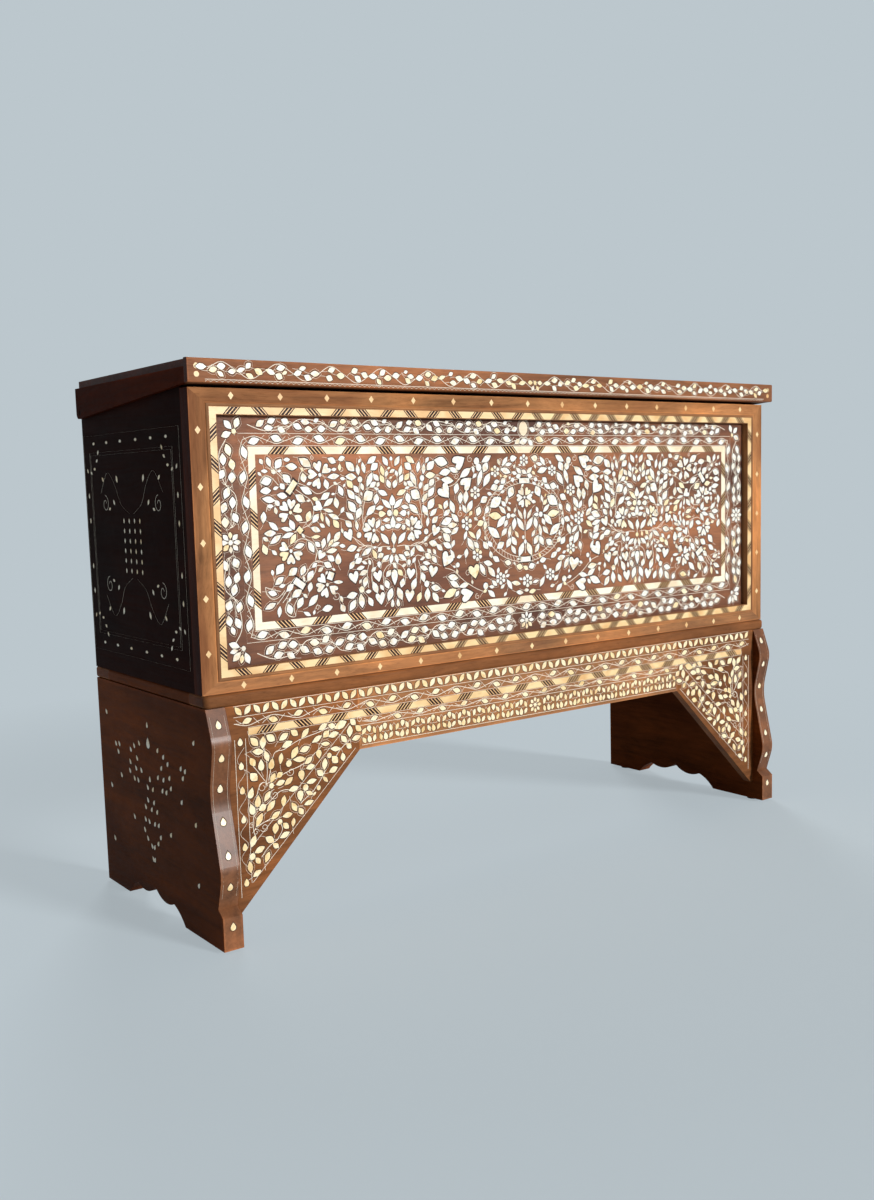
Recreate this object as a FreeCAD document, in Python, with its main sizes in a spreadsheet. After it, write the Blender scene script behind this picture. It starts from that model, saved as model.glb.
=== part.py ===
import FreeCAD, Part
import math
import os
import re
import Sketcher

# Dowry chest of walnut on a bracketed stand, with bone and pearl inlay and a lid that turns on
# wooden pins. Millimetres, +Z up, the front faces -Y, and the origin is on the floor at the middle
# of the chest's outline.

# Driving sizes
SIZES = {
    # Case
    "case_width": 1426,
    "case_depth": 472,
    "case_height": 500,
    "side_thick": 24,
    "side_rise": 5,
    "back_thick": 24,
    "back_lower_height": 240,
    "floor_thick": 18,
    "floor_lift": 12,
    "floor_housing": 6,
    # Front frame, moulding and panel
    "frame_thick": 28,
    "stile_width": 30,
    "top_rail_width": 24,
    "bottom_rail_width": 20,
    "bead_width": 5,
    "bead_proud": 1.5,
    "band_lip": 1,
    "band_width": 12,
    "panel_recess": 15,
    "panel_thick": 12,
    "panel_border_side": 61,
    "panel_border_top": 51,
    "panel_border_bottom": 58,
    "panel_band_width": 13,
    # Inlay
    "inlay_depth": 2,
    "stripe_share": 0.42,
    "stripe_lean": 0.9,
    "mitred_end_share": 0.8,
    "moulding_count_across": 26,
    "moulding_count_up": 8,
    "panel_count_across": 16,
    "panel_count_up": 4,
    "diamond_width": 10,
    "diamond_height": 13,
    "diamond_end_across": 76,
    "diamond_end_up": 68,
    "diamond_count_across": 15,
    "diamond_count_up": 5,
    "oval_width": 22,
    "oval_height": 30,
    "oval_drop": 16,
    "dot_diameter": 9,
    "dot_spacing": 13,
    "dot_inset": 16,
    # Lid and its pins
    "lid_thick": 39,
    "lid_clearance": 0.4,
    "lid_overhang": 23,
    "lip_thick": 12,
    "lip_round": 3,
    "lid_front_board": 67,
    "lid_back_board": 129,
    "cleat_thick": 8,
    "cleat_clearance": 1,
    "cleat_step": 13.5,
    "cleat_drop": 32,
    "cleat_round": 11,
    "batten_width": 60,
    "batten_thick": 20,
    "batten_inset": 75,
    "batten_spread": 620,
    "pin_diameter": 10,
    "pin_drop": 20,
    "pin_setback": 17,
    "pin_bite": 18,
    "pin_sink": 0.6,
    "pin_fit": 0.05,
    # Stand
    "stand_height": 430,
    "ledge_height": 22,
    "ledge_proud": 9,
    "ledge_depth": 62,
    "ledge_corner": 10,
    "ledge_round": 6,
    "apron_proud": 6,
    "apron_thick": 20,
    "apron_height": 112,
    "bracket_reach": 260,
    "bracket_height": 364,
    "bracket_toe": 6,
    "apron_band_drop": 41,
    "apron_band_width": 12,
    "apron_band_inset": 41,
    "apron_count": 18,
    "back_rail_thick": 22,
    "block_leg": 40,
    "block_height": 80,
    # Scroll-cut legs
    "leg_thick": 36,
    "leg_top_reach": 7,
    "shoulder_reach": 28,
    "shoulder_drop": 58,
    "shoulder_round": 50,
    "waist_reach": 8,
    "waist_drop": 146,
    "waist_round": 120,
    "calf_reach": 38,
    "calf_drop": 278,
    "calf_round": 60,
    "notch_reach": 20,
    "notch_drop": 335,
    "foot_reach": 36,
    "foot_drop": 347,
    "front_foot_length": 115,
    "back_foot_length": 107,
    "arch_shoulder_run": 45,
    "arch_shoulder_rise": 30,
    "arch_peak_rise": 41,
    "arch_shoulder_sag": 4,
    "arch_lobe_sag": 12,
    "glide_diameter": 28,
    "glide_height": 4,
    "glide_inset": 42,
}

# How near two places are when they count as one
TINY = 1e-4

# Places worked out from the sizes
HALF = "(case_width / 2)"
FRONT = "((foot_reach - case_depth) / 2)"
BACK = "((foot_reach + case_depth) / 2)"
INSIDE_FRONT = f"({FRONT} + frame_thick)"
INSIDE_BACK = f"({BACK} - back_thick)"
INSIDE_HALF = f"({HALF} - side_thick)"
FRAME_TOP = "(stand_height + case_height)"
SIDE_TOP = f"({FRAME_TOP} + side_rise)"
BACK_JOINT = "(stand_height + back_lower_height)"
OPENING_HALF = f"({HALF} - stile_width)"
OPENING_LOW = "(stand_height + bottom_rail_width)"
OPENING_HIGH = f"({FRAME_TOP} - top_rail_width)"
MOULDING = "(bead_width + 2 * band_lip + band_width)"
BAND_EDGE = "(bead_width + band_lip)"
PANEL_FACE = f"({FRONT} + panel_recess)"
FIELD_HALF = f"({OPENING_HALF} - {MOULDING} - panel_border_side)"
FIELD_LOW = f"({OPENING_LOW} + {MOULDING} + panel_border_bottom)"
FIELD_HIGH = f"({OPENING_HIGH} - {MOULDING} - panel_border_top)"
LID_UNDER = f"({SIDE_TOP} + lid_clearance)"
LID_TOP = f"({LID_UNDER} + lid_thick)"
LID_FRONT = f"({FRONT} - lid_overhang)"
LIP_BACK = f"({LID_FRONT} + lip_thick)"
LID_HALF = f"({HALF} + cleat_clearance)"
LIP_HALF = f"({LID_HALF} + cleat_thick)"
PIN_Y = f"({BACK} - pin_setback)"
PIN_Z = f"({SIDE_TOP} - pin_drop)"
PIN_RISE = "sqrt(pin_drop^2 - pin_setback^2)"
PIN_SAG = f"(pin_drop - sqrt(pin_drop^2 - (pin_setback^2 + (pin_drop - {PIN_RISE})^2) / 4))"
LEDGE_UNDER = "(stand_height - ledge_height)"
LEDGE_FRONT = f"({FRONT} - ledge_proud)"
LEG_INNER = f"({HALF} - leg_thick)"
APRON_FACE = f"({FRONT} - apron_proud)"
APRON_BACK = f"({APRON_FACE} + apron_thick)"
APRON_LOW = f"({LEDGE_UNDER} - apron_height)"
APRON_HALF = f"({LEG_INNER} - bracket_reach)"
APRON_BAND_HALF = f"({LEG_INNER} - apron_band_inset)"
APRON_BAND_TOP = f"({LEDGE_UNDER} - apron_band_drop)"
APRON_BAND_LOW = f"({APRON_BAND_TOP} - apron_band_width)"
LEG_LOW = "glide_height"

doc = FreeCAD.newDocument("DowryChest")
sheet = doc.addObject("Spreadsheet::Sheet", "Sizes")
for row, (alias, number) in enumerate(SIZES.items(), 1):
    sheet.set(f"A{row}", alias)
    sheet.set(f"B{row}", str(number))
    sheet.setAlias(f"B{row}", alias)
doc.recompute()

pieces = []


def formula(text):
    """Write the sheet's name before each size in a formula."""
    return re.sub(r"[a-z_]+", lambda word: f"Sizes.{word[0]}" if word[0] in SIZES else word[0], text)


def value(text):
    """The present number of a formula."""
    return float(sheet.evalExpression(formula(text)))


def bind(thing, prop, text):
    thing.setExpression(prop, formula(text))


def name_piece(piece, label):
    piece.Label = label
    pieces.append(piece)
    return piece


# Sketch helpers

def new_sketch(body, plane):
    """A sketch on one of the body's own origin planes."""
    sketch = body.newObject("Sketcher::SketchObject", "Sketch")
    support = [part for part in body.Origin.OriginFeatures if part.Role == plane][0]
    sketch.AttachmentSupport = [(support, "")]
    sketch.MapMode = "FlatFace"
    return sketch


def constrain(sketch, text, kind, *where):
    index = sketch.addConstraint(Sketcher.Constraint(kind, *where, value(text)))
    bind(sketch, f"Constraints[{index}]", text)


def add_loop(sketch, corners):
    """A closed outline. A corner is (u, v), or (u, v, sag) where the side that follows it is an arc
    that swells by sag to the right of its way, or to the left if sag is negative."""
    ends = []
    for corner, after in zip(corners, corners[1:] + corners[:1]):
        start = FreeCAD.Vector(value(corner[0]), value(corner[1]), 0)
        stop = FreeCAD.Vector(value(after[0]), value(after[1]), 0)
        if len(corner) == 2:
            index = sketch.addGeometry(Part.LineSegment(start, stop))
            ends.append((index, 1, 2))
            continue
        way = stop - start
        right = FreeCAD.Vector(way.y, -way.x, 0).normalize()
        crown = (start + stop) * 0.5 + right * value(corner[2])
        forward = value(corner[2]) > 0
        arc = Part.Arc(start, crown, stop) if forward else Part.Arc(stop, crown, start)
        index = sketch.addGeometry(arc)
        ends.append((index, 1, 2) if forward else (index, 2, 1))
        chord = f"(({after[0]} - ({corner[0]}))^2 + ({after[1]} - ({corner[1]}))^2)"
        constrain(sketch, f"({chord} / 4 + ({corner[2]})^2) / (2 * abs({corner[2]}))", "Radius", index)
    for (index, _, tail), (following, head, _) in zip(ends, ends[1:] + ends[:1]):
        sketch.addConstraint(Sketcher.Constraint("Coincident", index, tail, following, head))
    for (index, head, _), corner in zip(ends, corners):
        constrain(sketch, corner[0], "DistanceX", index, head)
        constrain(sketch, corner[1], "DistanceY", index, head)


def add_circle(sketch, u, v, diameter):
    centre = FreeCAD.Vector(value(u), value(v), 0)
    index = sketch.addGeometry(Part.Circle(centre, FreeCAD.Vector(0, 0, 1), value(diameter) / 2))
    constrain(sketch, u, "DistanceX", index, 3)
    constrain(sketch, v, "DistanceY", index, 3)
    constrain(sketch, f"({diameter}) / 2", "Radius", index)


def rectangle(low_u, high_u, low_v, high_v):
    return [(low_u, low_v), (high_u, low_v), (high_u, high_v), (low_u, high_v)]


NORMAL = {"XY_Plane": "z", "XZ_Plane": "y", "YZ_Plane": "x"}


def prism(label, plane, span, loops=(), circles=()):
    """A body drawn on a plane and thickened along the plane's axis over span, a low and a high place.
    Its sketch plane is at the low place."""
    low, high = span
    body = doc.addObject("PartDesign::Body", label)
    sketch = new_sketch(body, plane)
    for corners in loops:
        add_loop(sketch, corners)
    for circle in circles:
        add_circle(sketch, *circle)
    pad = body.newObject("PartDesign::Pad", "Pad")
    pad.Profile = sketch
    pad.Reversed = plane == "XZ_Plane"
    bind(pad, "Length", f"({high}) - ({low})")
    bind(body, f"Placement.Base.{NORMAL[plane]}", low)
    sketch.Visibility = False
    doc.recompute()
    return name_piece(body, label)


def cut(body, plane, depth, loops=(), circles=(), at="0"):
    """Cut outlines into a body from a plane that lies at a distance along the plane's axis from the
    body's low face, towards the far side when at is 0 and back towards the low face otherwise."""
    before = body.Shape.Volume
    sketch = new_sketch(body, plane)
    for corners in loops:
        add_loop(sketch, corners)
    for circle in circles:
        add_circle(sketch, *circle)
    outward = -1 if plane == "XZ_Plane" else 1
    bind(sketch, "AttachmentOffset.Base.z", f"{outward} * ({at})")
    pocket = body.newObject("PartDesign::Pocket", "Pocket")
    pocket.Profile = sketch
    pocket.Reversed = (at == "0") == (outward == 1)
    bind(pocket, "Length", depth)
    sketch.Visibility = False
    doc.recompute()
    if not body.Shape.Volume < before:
        raise RuntimeError(f"{body.Label}: a cut removed nothing")
    return pocket


def repeat(body, feature, axis, pitch, count):
    """Repeat a feature in a row along an axis of its sketch."""
    pattern = body.newObject("PartDesign::LinearPattern", "Row")
    pattern.Originals = [feature]
    pattern.Direction = (feature.Profile[0], [axis])
    bind(pattern, "Length", f"({pitch}) * ({count} - 1)")
    bind(pattern, "Occurrences", count)
    body.Tip = pattern
    doc.recompute()


def round_edges(body, radius, chosen):
    """Round the edges for which chosen(edge) holds."""
    base = body.Tip
    edges = [f"Edge{i}" for i, edge in enumerate(base.Shape.Edges, 1) if chosen(edge)]
    fillet = body.newObject("PartDesign::Fillet", "Fillet")
    fillet.Base = (base, edges)
    bind(fillet, "Radius", radius)
    doc.recompute()


def stands_at(u_axis, u, v_axis, v):
    """A test for the edge that runs straight through the point (u, v) of an outline."""
    want = (value(u), value(v))

    def chosen(edge):
        near = [math.dist((getattr(p.Point, u_axis), getattr(p.Point, v_axis)), want) < TINY
                for p in edge.Vertexes]
        return len(near) == 2 and all(near)

    return chosen


def box(label, x, y, z):
    """A square board between a low and a high place on each axis."""
    board = doc.addObject("Part::Box", label)
    for size, axis, (low, high) in zip(("Length", "Width", "Height"), "xyz", (x, y, z)):
        bind(board, size, f"({high}) - ({low})")
        bind(board, f"Placement.Base.{axis}", low)
    return name_piece(board, label)


# Front frame with its mitred corners and rows of pearl diamonds

def diamond(u, v):
    return [(f"{u} - diamond_width / 2", v), (u, f"{v} - diamond_height / 2"),
            (f"{u} + diamond_width / 2", v), (u, f"{v} + diamond_height / 2")]


def frame_member(label, corners, first, axis, pitch, count):
    """A mitred frame piece and the row of pearl diamonds let into its face."""
    member = prism(label, "XZ_Plane", (FRONT, INSIDE_FRONT), [corners])
    pocket = cut(member, "XZ_Plane", "inlay_depth", [diamond(*first)])
    repeat(member, pocket, axis, pitch, count)
    row = prism(f"{label}_pearl_diamonds", "XZ_Plane", (FRONT, f"{FRONT} + inlay_depth"), [diamond(*first)])
    repeat(row, row.Tip, axis, pitch, count)


def front_frame():
    pitch_across = "(case_width - 2 * diamond_end_across) / (diamond_count_across - 1)"
    pitch_up = "(case_height - 2 * diamond_end_up) / (diamond_count_up - 1)"
    for side, label in ((-1, "front_stile_left"), (1, "front_stile_right")):
        outer = f"{side} * {HALF}"
        inner = f"{side} * {OPENING_HALF}"
        corners = [(outer, "stand_height"), (inner, OPENING_LOW), (inner, OPENING_HIGH), (outer, FRAME_TOP)]
        middle = f"({side} * ({HALF} - stile_width / 2))"
        first = (middle, "(stand_height + diamond_end_up)")
        frame_member(label, corners, first, "V_Axis", pitch_up, "diamond_count_up")
    for outer, inner, label in (("stand_height", OPENING_LOW, "front_rail_bottom"),
                                (FRAME_TOP, OPENING_HIGH, "front_rail_top")):
        corners = [(f"-1 * {HALF}", outer), (HALF, outer), (OPENING_HALF, inner),
                   (f"-1 * {OPENING_HALF}", inner)]
        middle = f"(({outer} + {inner}) / 2)"
        first = (f"(diamond_end_across - {HALF})", middle)
        frame_member(label, corners, first, "H_Axis", pitch_across, "diamond_count_across")


# Mitred moulding round the panel: a half-round bead and a groove for the zigzag band

def moulding_section(place):
    """The section's corners, from place(distance from the frame, distance behind the frame's face)."""
    band_end = f"({BAND_EDGE} + band_width)"
    points = [("0", "0"), ("bead_width", "0"), (BAND_EDGE, "0"), (BAND_EDGE, "inlay_depth"),
              (band_end, "inlay_depth"), (band_end, "0"), (MOULDING, "0"), (MOULDING, "panel_recess"),
              ("0", "panel_recess")]
    return [place(*point) for point in points]


def moulding_strip(label, plane, span, place, swell, mitres):
    corners = moulding_section(place)
    corners[0] = (*corners[0], swell)
    cut_through(prism(label, plane, span, [corners]), mitres)


def cut_through(body, loops):
    """Cut outlines on the front plane right through a body."""
    sketch = new_sketch(body, "XZ_Plane")
    for corners in loops:
        add_loop(sketch, corners)
    pocket = body.newObject("PartDesign::Pocket", "Mitre")
    pocket.Profile = sketch
    pocket.Type = "ThroughAll"
    pocket.Midplane = True
    bind(sketch, "AttachmentOffset.Base.z", f"-1 * {FRONT}")
    sketch.Visibility = False
    doc.recompute()


def moulding():
    inner_half = f"({OPENING_HALF} - {MOULDING})"
    inner_low = f"({OPENING_LOW} + {MOULDING})"
    inner_high = f"({OPENING_HIGH} - {MOULDING})"
    width = (f"-1 * {OPENING_HALF}", OPENING_HALF)
    height = (OPENING_LOW, OPENING_HIGH)
    for up, outer, inner, label in ((1, OPENING_LOW, inner_low, "moulding_bottom"),
                                    (-1, OPENING_HIGH, inner_high, "moulding_top")):
        # The strip's own frame starts at its left end, so the mitres are drawn from there.
        ends = [[("0", outer), (MOULDING, inner), ("0", inner)],
                [(f"2 * {OPENING_HALF}", outer), (f"2 * {OPENING_HALF}", inner),
                 (f"2 * {OPENING_HALF} - {MOULDING}", inner)]]
        moulding_strip(label, "YZ_Plane", width,
                       lambda a, b: (f"{FRONT} + {b}", f"{outer} + {up} * {a}"), f"{-up} * bead_proud", ends)
    for side, label in ((-1, "moulding_left"), (1, "moulding_right")):
        outer = f"{side} * {OPENING_HALF}"
        inner = f"{side} * {inner_half}"
        rise = f"({OPENING_HIGH} - {OPENING_LOW})"
        ends = [[(outer, "0"), (inner, MOULDING), (inner, "0")],
                [(outer, rise), (inner, rise), (inner, f"{rise} - {MOULDING}")]]
        moulding_strip(label, "XY_Plane", height,
                       lambda a, b: (f"{outer} - {side} * {a}", f"{FRONT} + {b}"),
                       f"{-side} * bead_proud", ends)


# Zigzag bands: bone trapezoids that alternate with striped blocks

def zigzag(start, along, across, length, units, width, mitred):
    """The bone and the striped solids of one straight run. The run starts at start, goes along one
    direction and is width wide across the other. Mitred ends slant to meet the next run, and their
    end pieces are longer."""
    end_share = value("mitred_end_share") if mitred else 0.5
    unit = length / (units - 1 + 2 * end_share)
    half_block = unit * value("stripe_share") / 2
    lean = width * value("stripe_lean") / 2
    inward = FreeCAD.Vector(0, value("inlay_depth"), 0)

    def solid(edge_a, edge_b):
        points = [start + along * edge_a[0], start + along * edge_b[0],
                  start + along * edge_b[1] + across * width, start + along * edge_a[1] + across * width]
        return Part.Face(Part.makePolygon(points + points[:1])).extrude(inward)

    corner = width if mitred else 0
    edges = [(0, corner)]
    for k in range(units):
        middle = (k + end_share) * unit
        slant = lean if k % 2 else -lean
        edges += [(middle - half_block - slant, middle - half_block + slant),
                  (middle + half_block - slant, middle + half_block + slant)]
    edges.append((length, length - corner))
    strips = [solid(a, b) for a, b in zip(edges, edges[1:])]
    return strips[0::2], strips[1::2]


def band_nodes(name, runs):
    """A node of bone pieces and a node of striped blocks for a list of runs."""
    bone = []
    striped = []
    for run in runs:
        more_bone, more_striped = zigzag(*run)
        bone += more_bone
        striped += more_striped
    for label, solids in ((f"{name}_bone_zigzag", bone), (f"{name}_striped_blocks", striped)):
        node = doc.addObject("Part::Feature", label)
        node.Shape = Part.makeCompound(solids)
        name_piece(node, label)


def ring_runs(half, low, high, depth, width, count_across, count_up):
    """Four mitred runs round a rectangle on the front."""
    x, z0, z1, y = value(half), value(low), value(high), value(depth)
    right, up = FreeCAD.Vector(1, 0, 0), FreeCAD.Vector(0, 0, 1)
    wide, tall = 2 * x, z1 - z0
    across, upward = round(value(count_across)), round(value(count_up))
    return [(FreeCAD.Vector(-x, y, z1), right, -up, wide, across, value(width), True),
            (FreeCAD.Vector(-x, y, z0), right, up, wide, across, value(width), True),
            (FreeCAD.Vector(-x, y, z0), up, right, tall, upward, value(width), True),
            (FreeCAD.Vector(x, y, z0), up, -right, tall, upward, value(width), True)]


def moulding_band():
    runs = ring_runs(f"{OPENING_HALF} - {BAND_EDGE}", f"{OPENING_LOW} + {BAND_EDGE}",
                     f"{OPENING_HIGH} - {BAND_EDGE}", FRONT, "band_width",
                     "moulding_count_across", "moulding_count_up")
    band_nodes("moulding", runs)


# Recessed panel with its own zigzag band and the oval pearl at the top

def front_panel():
    edge = rectangle(f"-1 * {OPENING_HALF}", OPENING_HALF, OPENING_LOW, OPENING_HIGH)
    panel = prism("front_panel", "XZ_Plane", (PANEL_FACE, f"{PANEL_FACE} + panel_thick"), [edge])
    outer = rectangle(f"-1 * {FIELD_HALF}", FIELD_HALF, FIELD_LOW, FIELD_HIGH)
    inner_half = f"({FIELD_HALF} - panel_band_width)"
    inner = rectangle(f"-1 * {inner_half}", inner_half, f"{FIELD_LOW} + panel_band_width",
                      f"{FIELD_HIGH} - panel_band_width")
    cut(panel, "XZ_Plane", "inlay_depth", [outer, inner])
    middle = f"({OPENING_HIGH} - {MOULDING} - oval_drop)"
    oval = [("0", f"{middle} - oval_height / 2", "oval_width / 2"),
            ("0", f"{middle} + oval_height / 2", "oval_width / 2")]
    cut(panel, "XZ_Plane", "inlay_depth", [oval])
    prism("panel_oval_pearl", "XZ_Plane", (PANEL_FACE, f"{PANEL_FACE} + inlay_depth"), [oval])
    runs = ring_runs(FIELD_HALF, FIELD_LOW, FIELD_HIGH, PANEL_FACE, "panel_band_width",
                     "panel_count_across", "panel_count_up")
    band_nodes("panel", runs)


# Case boards

def case():
    round_top = (BACK, f"{PIN_Z} + {PIN_RISE}", PIN_SAG)
    for side, label in ((-1, "case_side_left"), (1, "case_side_right")):
        outline = [(INSIDE_FRONT, "stand_height"), (BACK, "stand_height"), round_top, (PIN_Y, SIDE_TOP),
                   (INSIDE_FRONT, SIDE_TOP)]
        low = f"(-1 * {HALF})" if side < 0 else INSIDE_HALF
        board = prism(label, "YZ_Plane", (low, f"{low} + side_thick"), [outline])
        floor_low = "(stand_height + floor_lift)"
        housing = rectangle(INSIDE_FRONT, INSIDE_BACK, floor_low, f"{floor_low} + floor_thick")
        inner_face, outer_face = ("side_thick", "0") if side < 0 else ("0", "side_thick")
        cut(board, "YZ_Plane", "floor_housing", [housing], at=inner_face)
        hole = (PIN_Y, PIN_Z, "pin_diameter + 2 * pin_fit")
        cut(board, "YZ_Plane", "pin_bite", circles=[hole], at=outer_face)
    inside = (f"-1 * {INSIDE_HALF}", INSIDE_HALF)
    prism("case_back_upper", "YZ_Plane", inside,
          [[(INSIDE_BACK, BACK_JOINT), (BACK, BACK_JOINT), round_top, (PIN_Y, SIDE_TOP),
            (INSIDE_BACK, SIDE_TOP)]])
    box("case_back_lower", inside, (INSIDE_BACK, BACK), ("stand_height", BACK_JOINT))
    housed = f"({INSIDE_HALF} + floor_housing)"
    floor_low = "stand_height + floor_lift"
    box("case_floor", (f"-1 * {housed}", housed), (INSIDE_FRONT, INSIDE_BACK),
        (floor_low, f"{floor_low} + floor_thick"))


# Lid of three boards with a front lip, end cleats and battens, and the pins that it turns on

def lid():
    board_z = (LID_UNDER, LID_TOP)
    board_x = (f"-1 * {LID_HALF}", LID_HALF)
    front_joint = f"({LIP_BACK} + lid_front_board)"
    back_joint = f"({BACK} - lid_back_board)"
    box("lid_board_front", board_x, (LIP_BACK, front_joint), board_z)
    box("lid_board_middle", board_x, (front_joint, back_joint), board_z)
    box("lid_board_back", board_x, (back_joint, BACK), board_z)
    lip_edge = rectangle(f"-1 * {LIP_HALF}", LIP_HALF, LID_UNDER, LID_TOP)
    lip = prism("lid_front_lip", "XZ_Plane", (LID_FRONT, LIP_BACK), [lip_edge])
    dots = []
    for side in (-1, 1):
        for step in (-1, 1):
            dots.append((f"{side} * ({LIP_HALF} - dot_inset)",
                         f"{LID_UNDER} + lid_thick / 2 + {step} * dot_spacing / 2", "dot_diameter"))
    cut(lip, "XZ_Plane", "inlay_depth", circles=dots)
    round_edges(lip, "lip_round",
                lambda edge: edge.BoundBox.YMax < TINY and edge.BoundBox.XLength > value(HALF))
    prism("lid_pearl_dots", "XZ_Plane", (LID_FRONT, f"{LID_FRONT} + inlay_depth"), circles=dots)
    cleat_low = f"{LID_UNDER} - cleat_drop"
    cleat_top = f"{LID_TOP} - cleat_step"
    for side, label in ((-1, "lid_cleat_left"), (1, "lid_cleat_right")):
        low = f"(-1 * {LIP_HALF})" if side < 0 else LID_HALF
        cleat = prism(label, "YZ_Plane", (low, f"{low} + cleat_thick"),
                      [[(LIP_BACK, LID_UNDER), (BACK, cleat_low), (BACK, cleat_top), (LIP_BACK, cleat_top)]])
        round_edges(cleat, "cleat_round", stands_at("y", BACK, "z", cleat_low))
        hole = (PIN_Y, PIN_Z, "pin_diameter + 2 * pin_fit")
        cut(cleat, "YZ_Plane", "cleat_thick", circles=[hole])
    for side, label in ((-1, "lid_batten_left"), (1, "lid_batten_right")):
        middle = f"({side} * batten_spread / 2)"
        box(label, (f"{middle} - batten_width / 2", f"{middle} + batten_width / 2"),
            (f"{INSIDE_FRONT} + batten_inset", f"{INSIDE_BACK} - batten_inset"),
            (f"{LID_UNDER} - batten_thick", LID_UNDER))
    for side, label in ((-1, "hinge_pin_left"), (1, "hinge_pin_right")):
        pin = doc.addObject("Part::Cylinder", label)
        bind(pin, "Radius", "pin_diameter / 2")
        bind(pin, "Height", "cleat_thick - pin_sink + cleat_clearance + pin_bite")
        pin.Placement = FreeCAD.Placement(FreeCAD.Vector(), FreeCAD.Rotation(FreeCAD.Vector(0, 1, 0), 90))
        outer_end = f"-1 * {LIP_HALF} + pin_sink"
        bind(pin, "Placement.Base.x", outer_end if side < 0 else f"{HALF} - pin_bite")
        bind(pin, "Placement.Base.y", PIN_Y)
        bind(pin, "Placement.Base.z", PIN_Z)
        name_piece(pin, label)


# Stand: ledge frame, apron with brackets, scroll-cut end boards, back rail, glue blocks and glides

def ledge():
    z = (LEDGE_UNDER, "stand_height")
    front_inner = f"({LEDGE_FRONT} + ledge_depth)"
    back_inner = f"({BACK} - ledge_depth)"
    side_inner = f"({HALF} - ledge_depth)"

    def level(edge):
        return edge.BoundBox.ZLength < TINY

    def on_end(edge):
        return level(edge) and abs(edge.CenterOfMass.x) > value(HALF) - TINY

    front = prism("stand_ledge_front", "XY_Plane", z,
                  [rectangle(f"-1 * {HALF}", HALF, LEDGE_FRONT, front_inner)])
    for side in (-1, 1):
        round_edges(front, "ledge_corner", stands_at("x", f"{side} * {HALF}", "y", LEDGE_FRONT))
    round_edges(front, "ledge_round",
                lambda edge: level(edge) and edge.CenterOfMass.y < value(front_inner) - TINY)
    for side, label in ((-1, "stand_ledge_left"), (1, "stand_ledge_right")):
        x = (f"-1 * {HALF}", f"-1 * {side_inner}") if side < 0 else (side_inner, HALF)
        rail = prism(label, "XY_Plane", z, [rectangle(*x, front_inner, back_inner)])
        round_edges(rail, "ledge_round", on_end)
    back = prism("stand_ledge_back", "XY_Plane", z, [rectangle(f"-1 * {HALF}", HALF, back_inner, BACK)])
    round_edges(back, "ledge_round", on_end)


def apron():
    y = (APRON_FACE, APRON_BACK)
    rail = prism("apron_rail", "XZ_Plane", y,
                 [rectangle(f"-1 * {APRON_HALF}", APRON_HALF, APRON_LOW, LEDGE_UNDER)])
    cut(rail, "XZ_Plane", "inlay_depth",
        [rectangle(f"-1 * {APRON_HALF}", APRON_HALF, APRON_BAND_LOW, APRON_BAND_TOP)])
    for side, label in ((-1, "apron_bracket_left"), (1, "apron_bracket_right")):
        leg = f"{side} * {LEG_INNER}"
        joint = f"{side} * {APRON_HALF}"
        tip = f"({LEDGE_UNDER} - bracket_height)"
        corners = [(leg, LEDGE_UNDER), (joint, LEDGE_UNDER), (joint, APRON_LOW),
                   (f"{side} * ({LEG_INNER} - bracket_toe)", tip), (leg, tip)]
        bracket = prism(label, "XZ_Plane", y, [corners])
        groove = [(joint, APRON_BAND_LOW), (f"{side} * {APRON_BAND_HALF}", APRON_BAND_LOW),
                  (f"{side} * {APRON_BAND_HALF}", APRON_BAND_TOP), (joint, APRON_BAND_TOP)]
        cut(bracket, "XZ_Plane", "inlay_depth", [groove])
    start = FreeCAD.Vector(-value(APRON_BAND_HALF), value(APRON_FACE), value(APRON_BAND_TOP))
    right, down = FreeCAD.Vector(1, 0, 0), FreeCAD.Vector(0, 0, -1)
    band_nodes("apron", [(start, right, down, 2 * value(APRON_BAND_HALF), round(value("apron_count")),
                          value("apron_band_width"), False)])
    box("stand_back_rail", (f"-1 * {LEG_INNER}", LEG_INNER), (f"{BACK} - back_rail_thick", BACK),
        (APRON_LOW, LEDGE_UNDER))


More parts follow.
